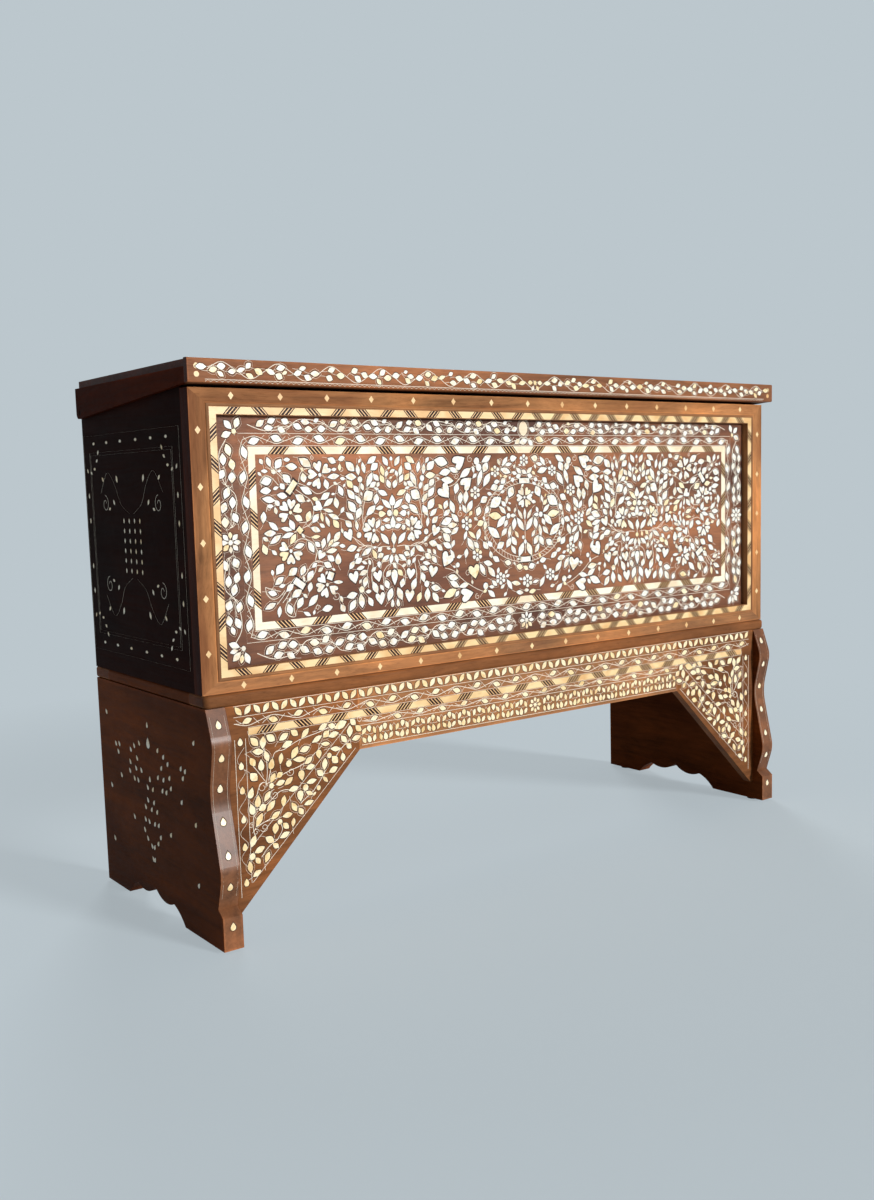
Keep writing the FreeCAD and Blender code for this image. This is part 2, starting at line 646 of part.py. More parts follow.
def legs():
    low = LEG_LOW
    arch_front = f"({FRONT} + front_foot_length)"
    arch_back = f"({BACK} - back_foot_length)"
    peak = f"(({arch_front} + {arch_back}) / 2)"
    shoulder = f"({low} + arch_shoulder_rise)"

    def front_edge(name):
        return f"({FRONT} - {name}_reach)", f"({LEDGE_UNDER} - {name}_drop)"

    outline = [(f"{FRONT} - leg_top_reach", LEDGE_UNDER), front_edge("shoulder"), front_edge("waist"),
               front_edge("calf"), front_edge("notch"), front_edge("foot"), (f"{FRONT} - foot_reach", low),
               (arch_front, low, "-1 * arch_shoulder_sag"),
               (f"{arch_front} + arch_shoulder_run", shoulder, "arch_lobe_sag"),
               (peak, f"{low} + arch_peak_rise", "arch_lobe_sag"),
               (f"{arch_back} - arch_shoulder_run", shoulder, "-1 * arch_shoulder_sag"),
               (arch_back, low), (BACK, low), (BACK, LEDGE_UNDER)]
    for side, label in ((-1, "stand_end_left"), (1, "stand_end_right")):
        start = f"(-1 * {HALF})" if side < 0 else LEG_INNER
        board = prism(label, "YZ_Plane", (start, f"{start} + leg_thick"), [outline])
        for name in ("shoulder", "waist", "calf"):
            round_edges(board, f"{name}_round", stands_at("y", front_edge(name)[0], "z", front_edge(name)[1]))
    glides = []
    for side in (-1, 1):
        for place in (f"{FRONT} - foot_reach + glide_inset", f"{BACK} - glide_inset"):
            glides.append((f"{side} * ({HALF} - leg_thick / 2)", place, "glide_diameter"))
    prism("foot_glides", "XY_Plane", ("0", low), circles=glides)
    blocks = []
    for side in (-1, 1):
        corner = f"{side} * {LEG_INNER}"
        inner = f"{side} * ({LEG_INNER} - block_leg)"
        for place, way in ((APRON_BACK, 1), (f"({BACK} - back_rail_thick)", -1)):
            blocks.append([(corner, place), (inner, place), (corner, f"{place} + {way} * block_leg")])
    prism("stand_glue_blocks", "XY_Plane", (f"{LEDGE_UNDER} - block_height", LEDGE_UNDER), blocks)


front_frame()
moulding()
moulding_band()
front_panel()
case()
lid()
ledge()
apron()
legs()
doc.recompute()

for thing in doc.Objects:
    if "Invalid" in thing.State or "Error" in thing.State:
        raise RuntimeError(f"{thing.Label} failed to build")
os.makedirs("parts", exist_ok=True)
for piece in pieces:
    if piece.Shape.isNull() or not piece.Shape.isValid() or not piece.Shape.Solids:
        raise RuntimeError(f"{piece.Label} has no sound shape")
for piece in pieces:
    piece.Shape.exportStep(f"parts/{piece.Label}.step")
print(len(pieces), "pieces")
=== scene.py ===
import math
import random

import bmesh
import bpy
from mathutils import Matrix, Vector
from mathutils.bvhtree import BVHTree


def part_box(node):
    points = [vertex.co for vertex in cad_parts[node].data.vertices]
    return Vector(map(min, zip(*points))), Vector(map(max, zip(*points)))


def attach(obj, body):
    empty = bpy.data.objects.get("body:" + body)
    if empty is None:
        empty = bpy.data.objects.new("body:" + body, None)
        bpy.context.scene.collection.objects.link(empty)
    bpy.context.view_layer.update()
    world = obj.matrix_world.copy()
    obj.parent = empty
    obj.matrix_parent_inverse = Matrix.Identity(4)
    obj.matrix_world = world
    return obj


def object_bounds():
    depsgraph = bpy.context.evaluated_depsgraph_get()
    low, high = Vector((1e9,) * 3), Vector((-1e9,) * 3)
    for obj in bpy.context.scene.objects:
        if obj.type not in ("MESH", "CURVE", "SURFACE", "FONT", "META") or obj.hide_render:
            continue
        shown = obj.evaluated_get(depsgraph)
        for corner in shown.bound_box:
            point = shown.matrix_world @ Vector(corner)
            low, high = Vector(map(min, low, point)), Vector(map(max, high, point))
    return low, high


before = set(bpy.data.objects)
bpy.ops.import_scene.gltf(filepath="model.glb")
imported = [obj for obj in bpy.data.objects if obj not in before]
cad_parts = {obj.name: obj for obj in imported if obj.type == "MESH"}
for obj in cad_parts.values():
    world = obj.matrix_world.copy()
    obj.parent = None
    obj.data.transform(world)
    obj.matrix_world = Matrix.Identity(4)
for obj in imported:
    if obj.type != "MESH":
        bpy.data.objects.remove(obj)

CAD_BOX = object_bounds()

bl_info = {
    "name": "Inlaid dowry chest",
    "version": (1, 0, 0),
    "blender": (4, 5, 0),
    "location": "View3D > Sidebar > Chest",
    "description": "Walnut finishes, pearl and wire inlay and a studio for a dowry chest on a stand",
    "category": "Object",
}

MM = 0.001


def tone(red, green, blue):
    """A display colour, 0 to 255, as the linear colour that shaders take."""
    return tuple((c / 255 / 12.92) if c <= 10 else ((c / 255 + 0.055) / 1.055) ** 2.4
                 for c in (red, green, blue))


def colour_property(label, note, colour):
    return bpy.props.FloatVectorProperty(name=label, description=note, subtype="COLOR", size=3, min=0, max=1,
                                         default=tone(*colour))


def length_property(label, note, millimetres):
    return bpy.props.FloatProperty(name=label, description=note, unit="LENGTH", min=0, precision=5,
                                   default=millimetres * MM)


class ChestInlaySizes(bpy.types.PropertyGroup):
    """Sizes of the inlay that a maker would change."""

    pearl_proud: length_property("Pearl proud", "How far pearl stands above the wood", 0.3)
    dark_line: length_property("Dark line", "Width of the mastic line round a pearl piece", 1.1)
    wire_width: length_property("Wire width", "Width of an inlaid wire", 2.3)
    outline_gap: length_property("Outline gap", "Wood left between a leaf and the wire round it", 1.6)
    stripes: bpy.props.IntProperty(name="Stripes", description="Bone lines on one striped block",
                                   default=4, min=1, max=9)


class ChestColours(bpy.types.PropertyGroup):
    """Colours of the woods and of the inlay."""

    panel_wood: colour_property("Panel wood", "Walnut of the front panel", (140, 92, 63))
    frame_wood: colour_property("Frame wood", "Walnut of the low rail, mouldings and apron", (150, 105, 68))
    # Painted sheen: the uprights and the top rail get a walnut paler than the frame wood, standing for the
    # sheen their low shine leaves out.
    stile_wood_painted_sheen: colour_property("Stile wood", "Walnut of the frame's uprights and top rail", (166, 117, 77))
    lid_wood: colour_property("Lid wood", "Walnut of the lid", (142, 94, 64))
    stand_wood: colour_property("Stand wood", "Walnut of the stand, the brackets and the back", (122, 79, 48))
    # Painted shade: the stand's end boards and side ledges get a darker walnut that stands for the shade on
    # the chest's sides.
    end_wood: colour_property("End wood", "Walnut of the stand's end boards", (94, 48, 20))
    # Painted shade: the cleats and the end faces at the chest's sides get a dark walnut that stands for the
    # shade there.
    cleat_wood_painted_shade: colour_property("Cleat wood", "Stained walnut of the cleats and of end faces", (66, 25, 9))
    # Painted shade: the case's sides and the pins get a near-black walnut that stands for the shade on the
    # sides.
    case_wood_painted_shade: colour_property("Case wood", "Stained walnut of the case's sides and the pins", (31, 9, 4))
    # Painted light: the legs' front edges get a paler walnut than the end boards' faces, the lit copy of the
    # shaded end wood.
    leg_front: colour_property("Leg front", "Rubbed walnut of the legs' front edges", (120, 80, 54))
    bone: colour_property("Bone", "Fresh bone of the panel band", (250, 240, 214))
    aged_bone: colour_property("Aged bone", "Golden bone of the moulding band", (238, 208, 154))
    horn: colour_property("Horn", "Dark ground of the striped blocks", (38, 15, 7))
    pearl: colour_property("Pearl", "Mother of pearl", (240, 239, 232))
    wire: colour_property("Wire", "Pale wire", (250, 240, 220))
    mastic: colour_property("Mastic", "Dark bed round the pearl", (44, 27, 21))


class ChestStudio(bpy.types.PropertyGroup):
    """Backdrop and light."""

    backdrop: colour_property("Backdrop", "Colour of the floor and the backdrop", (188, 199, 205))
    key: bpy.props.FloatProperty(name="Key light", description="Strength of the light on the front",
                                 default=3.35, min=0)
    rim: bpy.props.FloatProperty(name="Back light", description="Strength of the light on the back",
                                 default=1.5, min=0)
    sky: bpy.props.FloatProperty(name="Sky", description="Strength of the light from all round",
                                 default=0.15, min=0)


def setting(group, name):
    return getattr(getattr(bpy.context.scene, group), name)


def millimetres(group, name):
    return setting(group, name) / MM


def box_mm(node):
    """The lowest and the highest corner of a CAD node in millimetres."""
    low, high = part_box(node)
    return low / MM, high / MM


# Shader helpers

def add(tree, kind, props=(), **sockets):
    """A new node with its properties set and its sockets filled or linked."""
    made = tree.nodes.new(kind)
    for name, value in dict(props).items():
        setattr(made, name, value)
    for name, value in sockets.items():
        fill(tree, made.inputs[name.replace("_", " ")], value)
    return made


def fill(tree, socket, value):
    if isinstance(value, bpy.types.NodeSocket):
        tree.links.new(value, socket)
    else:
        socket.default_value = value


def math_node(tree, operation, first, second):
    made = tree.nodes.new("ShaderNodeMath")
    made.operation = operation
    for socket, value in zip(made.inputs, (first, second)):
        fill(tree, socket, value)
    return made.outputs[0]


def vector_node(tree, operation, first, second=(0, 0, 0)):
    made = tree.nodes.new("ShaderNodeVectorMath")
    made.operation = operation
    for socket, value in zip(made.inputs, (first, second)):
        fill(tree, socket, value)
    return made.outputs[0]


def mix_colour(tree, share, first, second, blend="MIX"):
    made = tree.nodes.new("ShaderNodeMix")
    made.data_type = "RGBA"
    made.blend_type = blend
    for index, value in ((0, share), (6, first), (7, second)):
        if not isinstance(value, bpy.types.NodeSocket) and index:
            value = (*value[:3], 1)
        fill(tree, made.inputs[index], value)
    return made.outputs[2]


def tint(tree, share, base, factors):
    """A colour that is multiplied by factors as far as the share says."""
    return mix_colour(tree, share, base, mix_colour(tree, 1.0, base, factors, "MULTIPLY"))


def scaled(tree, value, factor, start):
    """A start value plus a factor times the value."""
    return math_node(tree, "ADD", math_node(tree, "MULTIPLY", value, factor), start)


def ramp(tree, share, *stops):
    """A smooth ramp through (place, value or colour) stops."""
    made = add(tree, "ShaderNodeValToRGB", Fac=share)
    points = made.color_ramp.elements
    while len(points) < len(stops):
        points.new(1)
    for point, (place, value) in zip(points, stops):
        point.position = place
        point.color = (*value[:3], 1) if hasattr(value, "__len__") else (value, value, value, 1)
    return made.outputs["Color"]


def noise(tree, vector, scale, detail=3.0, distortion=0.0):
    return add(tree, "ShaderNodeTexNoise", Vector=vector, Scale=scale, Detail=detail,
               Distortion=distortion).outputs["Fac"]


def new_group(name, inputs, outputs):
    """A shader node group with its sockets, and its input and output nodes."""
    tree = bpy.data.node_groups.new(name, "ShaderNodeTree")
    for label, kind, default in inputs:
        socket = tree.interface.new_socket(label, in_out="INPUT", socket_type=kind)
        if default is not None:
            socket.default_value = default
    for label, kind in outputs:
        tree.interface.new_socket(label, in_out="OUTPUT", socket_type=kind)
    return tree, tree.nodes.new("NodeGroupInput").outputs, tree.nodes.new("NodeGroupOutput").inputs


def walnut_group():
    """Walnut figure with the grain along X: broad flame, fine streaks, open pores and dark stains."""
    tree, given, out = new_group(
        "walnut_figure",
        [("Vector", "NodeSocketVector", None), ("Wood", "NodeSocketColor", None),
         ("Stain", "NodeSocketFloat", 0.5)],
        [("Color", "NodeSocketColor"), ("Roughness", "NodeSocketFloat"), ("Height", "NodeSocketFloat")])
    place = given["Vector"]
    sway = noise(tree, vector_node(tree, "MULTIPLY", place, (1.6, 5, 5)), 1.0, 2.0)
    drift = vector_node(tree, "SCALE", (0, 1, 1))
    fill(tree, drift.node.inputs["Scale"], math_node(tree, "MULTIPLY", sway, 0.09))
    bent = vector_node(tree, "ADD", place, drift)
    flame = noise(tree, vector_node(tree, "MULTIPLY", bent, (1.3, 26, 26)), 1.0, 4.0, 0.6)
    streak = noise(tree, vector_node(tree, "MULTIPLY", bent, (5, 190, 190)), 1.0, 3.0)
    pore = noise(tree, vector_node(tree, "MULTIPLY", bent, (40, 1100, 1100)), 1.0, 1.0)
    patch = noise(tree, vector_node(tree, "MULTIPLY", place, (2.2, 6, 6)), 1.0, 3.0, 0.8)
    mottle = noise(tree, vector_node(tree, "MULTIPLY", place, (14, 42, 42)), 1.0, 4.0, 1.5)
    figure = math_node(tree, "ADD", math_node(tree, "MULTIPLY", flame, 0.5), math_node(
        tree, "ADD", math_node(tree, "MULTIPLY", streak, 0.26), math_node(tree, "MULTIPLY", mottle, 0.24)))
    lightness = ramp(tree, figure, (0.3, 0.42), (0.45, 0.84), (0.55, 1.06), (0.7, 1.5))
    shade = mix_colour(tree, 1.0, given["Wood"], lightness, "MULTIPLY")
    warm = tint(tree, math_node(tree, "MULTIPLY", flame, 0.55), shade, (1.16, 0.98, 0.78))
    sun = math_node(tree, "MULTIPLY", ramp(tree, patch, (0.36, 1.0), (0.5, 0.0)), given["Stain"])
    faded = tint(tree, sun, warm, (1.5, 1.36, 1.18))
    stain = math_node(tree, "MULTIPLY", ramp(tree, patch, (0.5, 0.0), (0.64, 1.0)), given["Stain"])
    stained = tint(tree, stain, faded, (0.52, 0.44, 0.46))
    open_pore = ramp(tree, pore, (0.58, 0.0), (0.68, 1.0))
    pored = tint(tree, math_node(tree, "MULTIPLY", open_pore, 0.35), stained, (0.4, 0.34, 0.3))
    fill(tree, out["Color"], pored)
    fill(tree, out["Roughness"], scaled(tree, streak, 0.22, 0.34))
    fill(tree, out["Height"], math_node(tree, "SUBTRACT", math_node(tree, "MULTIPLY", streak, 0.5),
                                        math_node(tree, "MULTIPLY", open_pore, 0.8)))


def wear_group():
    """A mask of rubbed edges: 1 near the edges of the board between two corners, broken up by noise."""
    tree, given, out = new_group(
        "rubbed_edges",
        [("Vector", "NodeSocketVector", None), ("Low", "NodeSocketVector", None),
         ("High", "NodeSocketVector", None), ("Width", "NodeSocketFloat", 0.002)],
        [("Mask", "NodeSocketFloat")])
    inside = vector_node(tree, "MINIMUM", vector_node(tree, "SUBTRACT", given["Vector"], given["Low"]),
                         vector_node(tree, "SUBTRACT", given["High"], given["Vector"]))
    parts = add(tree, "ShaderNodeSeparateXYZ", Vector=inside).outputs
    least = math_node(tree, "MINIMUM", parts["X"], parts["Y"])
    most = math_node(tree, "MAXIMUM", parts["X"], parts["Y"])
    middle = math_node(tree, "MAXIMUM", least, math_node(tree, "MINIMUM", most, parts["Z"]))
    patchy = noise(tree, given["Vector"], 38.0, 4.0)
    reach = math_node(tree, "MULTIPLY", given["Width"], math_node(tree, "MULTIPLY", patchy, 2.2))
    near = math_node(tree, "DIVIDE", middle, reach)
    fill(tree, out["Mask"], ramp(tree, near, (0.35, 1.0), (1.0, 0.0)))


def grime_group():
    """Soft darkening where hands and dust settle, and a little unevenness of the polish."""
    tree, given, out = new_group("grime", [("Vector", "NodeSocketVector", None)],
                                 [("Dirt", "NodeSocketFloat"), ("Polish", "NodeSocketFloat")])
    settled = noise(tree, given["Vector"], 7.0, 5.0, 0.4)
    fill(tree, out["Dirt"], ramp(tree, settled, (0.42, 0.0), (0.75, 1.0)))
    fill(tree, out["Polish"], noise(tree, given["Vector"], 60.0, 3.0))


def pearl_group():
    """Mother-of-pearl: cloudy layers with faint rose, green and amber, around a base tone."""
    tree, given, out = new_group(
        "pearl_layers",
        [("Vector", "NodeSocketVector", None), ("Base", "NodeSocketColor", None)],
        [("Color", "NodeSocketColor"), ("Height", "NodeSocketFloat")])
    cloud = noise(tree, given["Vector"], 130.0, 3.0, 1.2)
    layers = noise(tree, vector_node(tree, "MULTIPLY", given["Vector"], (1, 1, 2.4)), 420.0, 2.0, 2.0)
    rose = tint(tree, ramp(tree, cloud, (0.45, 0.0), (0.7, 0.7)), given["Base"], (0.9, 0.79, 0.72))
    green = tint(tree, ramp(tree, layers, (0.5, 0.0), (0.7, 0.45)), rose, (0.88, 0.98, 0.94))
    stain = noise(tree, given["Vector"], 75.0, 2.0, 0.6)
    amber = tint(tree, ramp(tree, stain, (0.5, 0.0), (0.68, 0.85)), green, (0.86, 0.72, 0.52))
    fill(tree, out["Color"], amber)
    fill(tree, out["Height"], layers)


def group_node(tree, name, **sockets):
    made = tree.nodes.new("ShaderNodeGroup")
    made.node_tree = bpy.data.node_groups[name]
    for label, value in sockets.items():
        fill(tree, made.inputs[label], value)
    return made.outputs


def new_material(name):
    """A material with its shader, its tree and the object's own coordinates."""
    material = bpy.data.materials.new(name)
    material.use_nodes = True
    tree = material.node_tree
    place = add(tree, "ShaderNodeTexCoord").outputs["Object"]
    return material, tree, tree.nodes["Principled BSDF"], place


def bump(tree, shader, height, strength, distance):
    made = add(tree, "ShaderNodeBump", Strength=strength, Distance=distance, Height=height)
    tree.links.new(made.outputs["Normal"], shader.inputs["Normal"])


# Grain along X needs no turn, along Z a quarter turn about Y, along Y a quarter turn about Z
GRAIN_TURN = {"X": (0, 0, 0), "Y": (0, 0, -math.pi / 2), "Z": (0, math.pi / 2, 0)}


def end_faces(tree, place, low, high):
    """A mask of a board's two end faces across the chest."""
    across = add(tree, "ShaderNodeSeparateXYZ", Vector=place).outputs["X"]
    within = math_node(tree, "MINIMUM", math_node(tree, "SUBTRACT", across, low[0]),
                       math_node(tree, "SUBTRACT", high[0], across))
    return ramp(tree, math_node(tree, "MULTIPLY", within, 1 / MM), (0.2, 1.0), (0.7, 0.0))


def front_edge(tree, place, low, high):
    """A mask of the narrow front edge of an upright end board, between its two broad faces."""
    back = math_node(tree, "SUBTRACT", add(tree, "ShaderNodeSeparateXYZ", Vector=place).outputs["Y"], low[1])
    return math_node(tree, "MULTIPLY", math_node(tree, "SUBTRACT", 1.0, end_faces(tree, place, low, high)),
                     ramp(tree, math_node(tree, "MULTIPLY", back, 10.0), (0.75, 1.0), (0.95, 0.0)))


def walnut(node, colour, grain, stain, wear, shine, edge, front=None, ends=None):
    """Walnut for one board, with its own stretch of figure and its own edges, paler or darker by a tint."""
    material, tree, shader, place = new_material(f"walnut_{node}")
    draw = random.Random(node)
    shift = [draw.uniform(-3, 3) for _ in range(3)]
    turned = add(tree, "ShaderNodeMapping", Vector=place, Rotation=GRAIN_TURN[grain], Location=shift)
    low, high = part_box(node)
    wood = (*colour, 1)
    # Painted light and shade: the front edges take the paler front walnut and a coat, the broad faces keep
    # the darker, shaded walnut.
    if front:
        ahead = front_edge(tree, place, low, high)
        wood = mix_colour(tree, ahead, colour, front)
        tree.links.new(math_node(tree, "MULTIPLY", ahead, 0.45), shader.inputs["Coat Weight"])
        shader.inputs["Coat Roughness"].default_value = 0.3
    # Painted shade: the end faces at the chest's sides take the dark walnut of those shaded sides.
    if ends:
        wood = mix_colour(tree, end_faces(tree, place, low, high), colour, ends)
    figure = group_node(tree, "walnut_figure", Vector=turned.outputs["Vector"], Wood=wood, Stain=stain)
    rubbed = group_node(tree, "rubbed_edges", Vector=place, Low=low, High=high, Width=wear)["Mask"]
    grime = group_node(tree, "grime", Vector=place)
    dirty = tint(tree, math_node(tree, "MULTIPLY", grime["Dirt"], 0.3), figure["Color"], (0.55, 0.5, 0.48))
    worn = tint(tree, math_node(tree, "MULTIPLY", rubbed, 0.75), dirty, edge)
    tree.links.new(worn, shader.inputs["Base Color"])
    rough = math_node(tree, "ADD", figure["Roughness"], math_node(tree, "MULTIPLY", grime["Polish"], 0.12))
    tree.links.new(rough, shader.inputs["Roughness"])
    shader.inputs["Specular IOR Level"].default_value = shine
    bump(tree, shader, figure["Height"], 0.35, 0.0006)
    return material


def pearl_material():
    """Pearl whose tone, from white through cream to gold, comes with each piece."""
    _, tree, shader, place = new_material("mother_of_pearl")
    own = add(tree, "ShaderNodeAttribute", {"attribute_name": "tone"}).outputs["Fac"]
    white = setting("chest_colours", "pearl")
    base = ramp(tree, own, (0.0, white), (0.5, white), (0.68, tone(250, 236, 202)),
                (0.9, tone(244, 218, 164)), (1.0, tone(224, 196, 150)))
    layers = group_node(tree, "pearl_layers", Vector=place, Base=base)
    tree.links.new(layers["Color"], shader.inputs["Base Color"])
    polish = group_node(tree, "grime", Vector=place)["Polish"]
    tree.links.new(scaled(tree, polish, 0.25, 0.16), shader.inputs["Roughness"])
    shader.inputs["Coat Weight"].default_value = 0.25
    shader.inputs["Coat Roughness"].default_value = 0.15
    bump(tree, shader, layers["Height"], 0.12, 0.0004)


def bone_material(name, colour, age):
    """Bone with faint fibre, yellowed in patches."""
    _, tree, shader, place = new_material(name)
    patches = noise(tree, place, 21.0, 1.0)
    fibre = noise(tree, vector_node(tree, "MULTIPLY", place, (60, 300, 240)), 1.0, 3.0)
    base = mix_colour(tree, ramp(tree, patches, (0.42, 0.0), (0.62, age)), colour, tone(214, 160, 92))
    streaked = tint(tree, ramp(tree, fibre, (0.52, 0.0), (0.75, 0.35)), base, (0.74, 0.62, 0.44))
    grime = group_node(tree, "grime", Vector=place)
    dirty = tint(tree, math_node(tree, "MULTIPLY", grime["Dirt"], 0.25), streaked, (0.6, 0.5, 0.38))
    tree.links.new(dirty, shader.inputs["Base Color"])
    tree.links.new(scaled(tree, grime["Polish"], 0.2, 0.3), shader.inputs["Roughness"])
    bump(tree, shader, fibre, 0.15, 0.0003)


def wire_material():
    """Pale wire, dulled in patches."""
    _, tree, shader, place = new_material("pewter_wire")
    dull = noise(tree, place, 90.0, 4.0)
    colour = setting("chest_colours", "wire")
    darker = tuple(c * 0.82 for c in colour)
    dulled = mix_colour(tree, ramp(tree, dull, (0.4, 0.0), (0.7, 0.6)), colour, darker)
    tree.links.new(dulled, shader.inputs["Base Color"])
    tree.links.new(scaled(tree, dull, 0.35, 0.25), shader.inputs["Roughness"])
    shader.inputs["Metallic"].default_value = 0.1
    bump(tree, shader, dull, 0.2, 0.0002)


def dark_material(name, colour, roughness):
    """Mastic, horn or felt: nearly black, with faint pits."""
    _, tree, shader, place = new_material(name)
    pits = noise(tree, place, 260.0, 3.0)
    paler = tuple(min(c * 1.9, 1) for c in colour)
    pitted = mix_colour(tree, ramp(tree, pits, (0.4, 0.0), (0.7, 0.7)), colour, paler)
    tree.links.new(pitted, shader.inputs["Base Color"])
    tree.links.new(scaled(tree, pits, 0.2, roughness), shader.inputs["Roughness"])
    shader.inputs["Specular IOR Level"].default_value = 0.15
    bump(tree, shader, pits, 0.2, 0.0003)


# Inlay patterns: each is modelled once, then copied into the face it belongs to

# Half outlines from one end to the other, as shares of the length and of the width
HALF_OUTLINES = {
    "leaf": [(-.5, 0), (-.36, .2), (-.16, .42), (.06, .5), (.26, .36), (.42, .14), (.5, 0)],
    "drop": [(-.5, 0), (-.45, .28), (-.3, .46), (-.08, .5), (.16, .36), (.36, .14), (.5, 0)],
    "heart": [(-.5, 0), (-.3, .2), (-.05, .4), (.2, .5), (.4, .44), (.5, .26), (.45, .1), (.34, 0)],
    "bar": [(-.5, 0), (-.5, .5), (.5, .5), (.5, 0)],
    "dot": [(-.5, 0), (-.35, .35), (0, .5), (.35, .35), (.5, 0)],
}
USUAL_SIZE = {"leaf": (20, 10), "drop": (15, 9), "heart": (14, 13), "bar": (8, 4), "dot": (10, 10)}
PEARL, MASTIC = 0, 1
# Heights above the wood in millimetres: the underside of a piece, its dark line, a wire and a stripe
BED, LINE_PROUD, WIRE_PROUD, STRIPE_PROUD = -0.3, 0.06, 0.24, 0.12
PEARL_BEVEL = 0.4  # width of the slope round a piece of pearl, in millimetres
FOOT_SHARE = 0.12  # share of the height left at the front of the feet, where the chest reaches furthest
LOOK_FROM = 0.2  # how far in front of the chest a look at its face starts, in metres
SHRINK_STEPS = (1, 0.86, 0.74, 0.62)  # sizes that a leaf tries, so as to fit in
RINGED_LENGTH = 13  # leaves longer than this may have a wire round them
STALK = (5, 11)  # where a stalk bends and ends behind its leaf
NEAR, TOUCHING = 0.65, 1.05  # how close two pieces may come, as a share of the older one's oval
PIECE_MARGIN, TIP_MARGIN = 0.9, 1.2  # room round a piece, beside others and at the edge of a field
COIL_POINTS, COIL_STEP, COIL_SHRINK = 17, 27, 0.045  # points of a coil, degrees and loss of radius at each
AXIS_WIDTH = 5  # pieces this near to the centre line aren't mirrored


def outline(kind):
    """The whole outline of a kind of piece."""
    half = HALF_OUTLINES[kind]
    return half + [(a, -b) for a, b in reversed(half[1:-1])]


def heading(turn):
    """The direction of a turn in degrees."""
    return math.cos(math.radians(turn)), math.sin(math.radians(turn))


class Pattern:
    """One inlay piece: a dark line of mastic round a raised plate of pearl, closed below."""

    def __init__(self, kind):
        length, width = (size * MM for size in USUAL_SIZE[kind])
        line = setting("chest_sizes", "dark_line")
        proud = setting("chest_sizes", "pearl_proud")
        corners = outline(kind)
        bpy.ops.object.select_all(action="DESELECT")
        bpy.ops.mesh.primitive_circle_add(vertices=len(corners), fill_type="NGON", enter_editmode=True)
        model = bpy.context.object
        shape = bmesh.from_edit_mesh(model.data)
        face = next(iter(shape.faces))
        order = corners if face.normal.z < 0 else corners[::-1]
        for vert, (a, b) in zip(face.verts, order):
            vert.co = (a * (length + 2 * line), b * (width + 2 * line), BED * MM)
        bmesh.update_edit_mesh(model.data)
        bpy.ops.mesh.select_all(action="SELECT")
        bpy.ops.mesh.extrude_region_move(TRANSFORM_OT_translate={"value": (0, 0, (LINE_PROUD - BED) * MM)})
        bpy.ops.mesh.inset(thickness=line, depth=0)
        bpy.ops.mesh.inset(thickness=PEARL_BEVEL * MM, depth=proud)
        bpy.ops.mesh.select_all(action="SELECT")
        bpy.ops.mesh.normals_make_consistent(inside=False)
        bpy.ops.object.mode_set(mode="OBJECT")
        mesh = model.data
        self.points = [(v.co.x / length, v.co.y / width, v.co.z / MM) for v in mesh.vertices]
        self.faces = [list(p.vertices) for p in mesh.polygons]
        top = max(v.co.z for v in mesh.vertices)
        plate = top - proud / 3
        self.slots = [PEARL if max(mesh.vertices[i].co.z for i in face) > plate else MASTIC
                      for face in self.faces]
        bpy.data.objects.remove(model)
        bpy.data.meshes.remove(mesh)


PATTERNS = {}


def pattern(kind):
    if kind not in PATTERNS:
        PATTERNS[kind] = Pattern(kind)
    return PATTERNS[kind]


class Gathered:
    """Points and faces gathered for one mesh, with a finish and a tone for each face."""

    def __init__(self):
        self.points, self.faces, self.slots, self.tones = [], [], [], []

    def add(self, points, faces, slots, shade):
        start = len(self.points)
        self.points += points
        self.faces += [[start + i for i in face] for face in faces]
        self.slots += slots
        self.tones += [shade] * len(faces)

    def make(self, name, body, slot, materials):
        mesh = bpy.data.meshes.new(name)
        mesh.from_pydata(self.points, [], self.faces)
        for material in materials:
            mesh.materials.append(bpy.data.materials[material])
        mesh.polygons.foreach_set("material_index", self.slots)
        mesh.attributes.new("tone", "FLOAT", "FACE").data.foreach_set("value", self.tones)
        mesh.update()
        piece = bpy.data.objects.new(name, mesh)
        bpy.context.collection.objects.link(piece)
        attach(piece, body)


def smooth(points, steps=5):
    """A smooth curve through points."""
    curve = []
    for i in range(len(points) - 1):
        a, b, c, d = (points[max(0, min(len(points) - 1, i + k))] for k in (-1, 0, 1, 2))
        for k in range(steps):
            t = k / steps
            curve.append(tuple(0.5 * (2 * q + (r - p) * t + (2 * p - 5 * q + 4 * r - s) * t * t
                                      + (3 * q - p - 3 * r + s) * t ** 3) for p, q, r, s in zip(a, b, c, d)))
    return curve + [points[-1]]


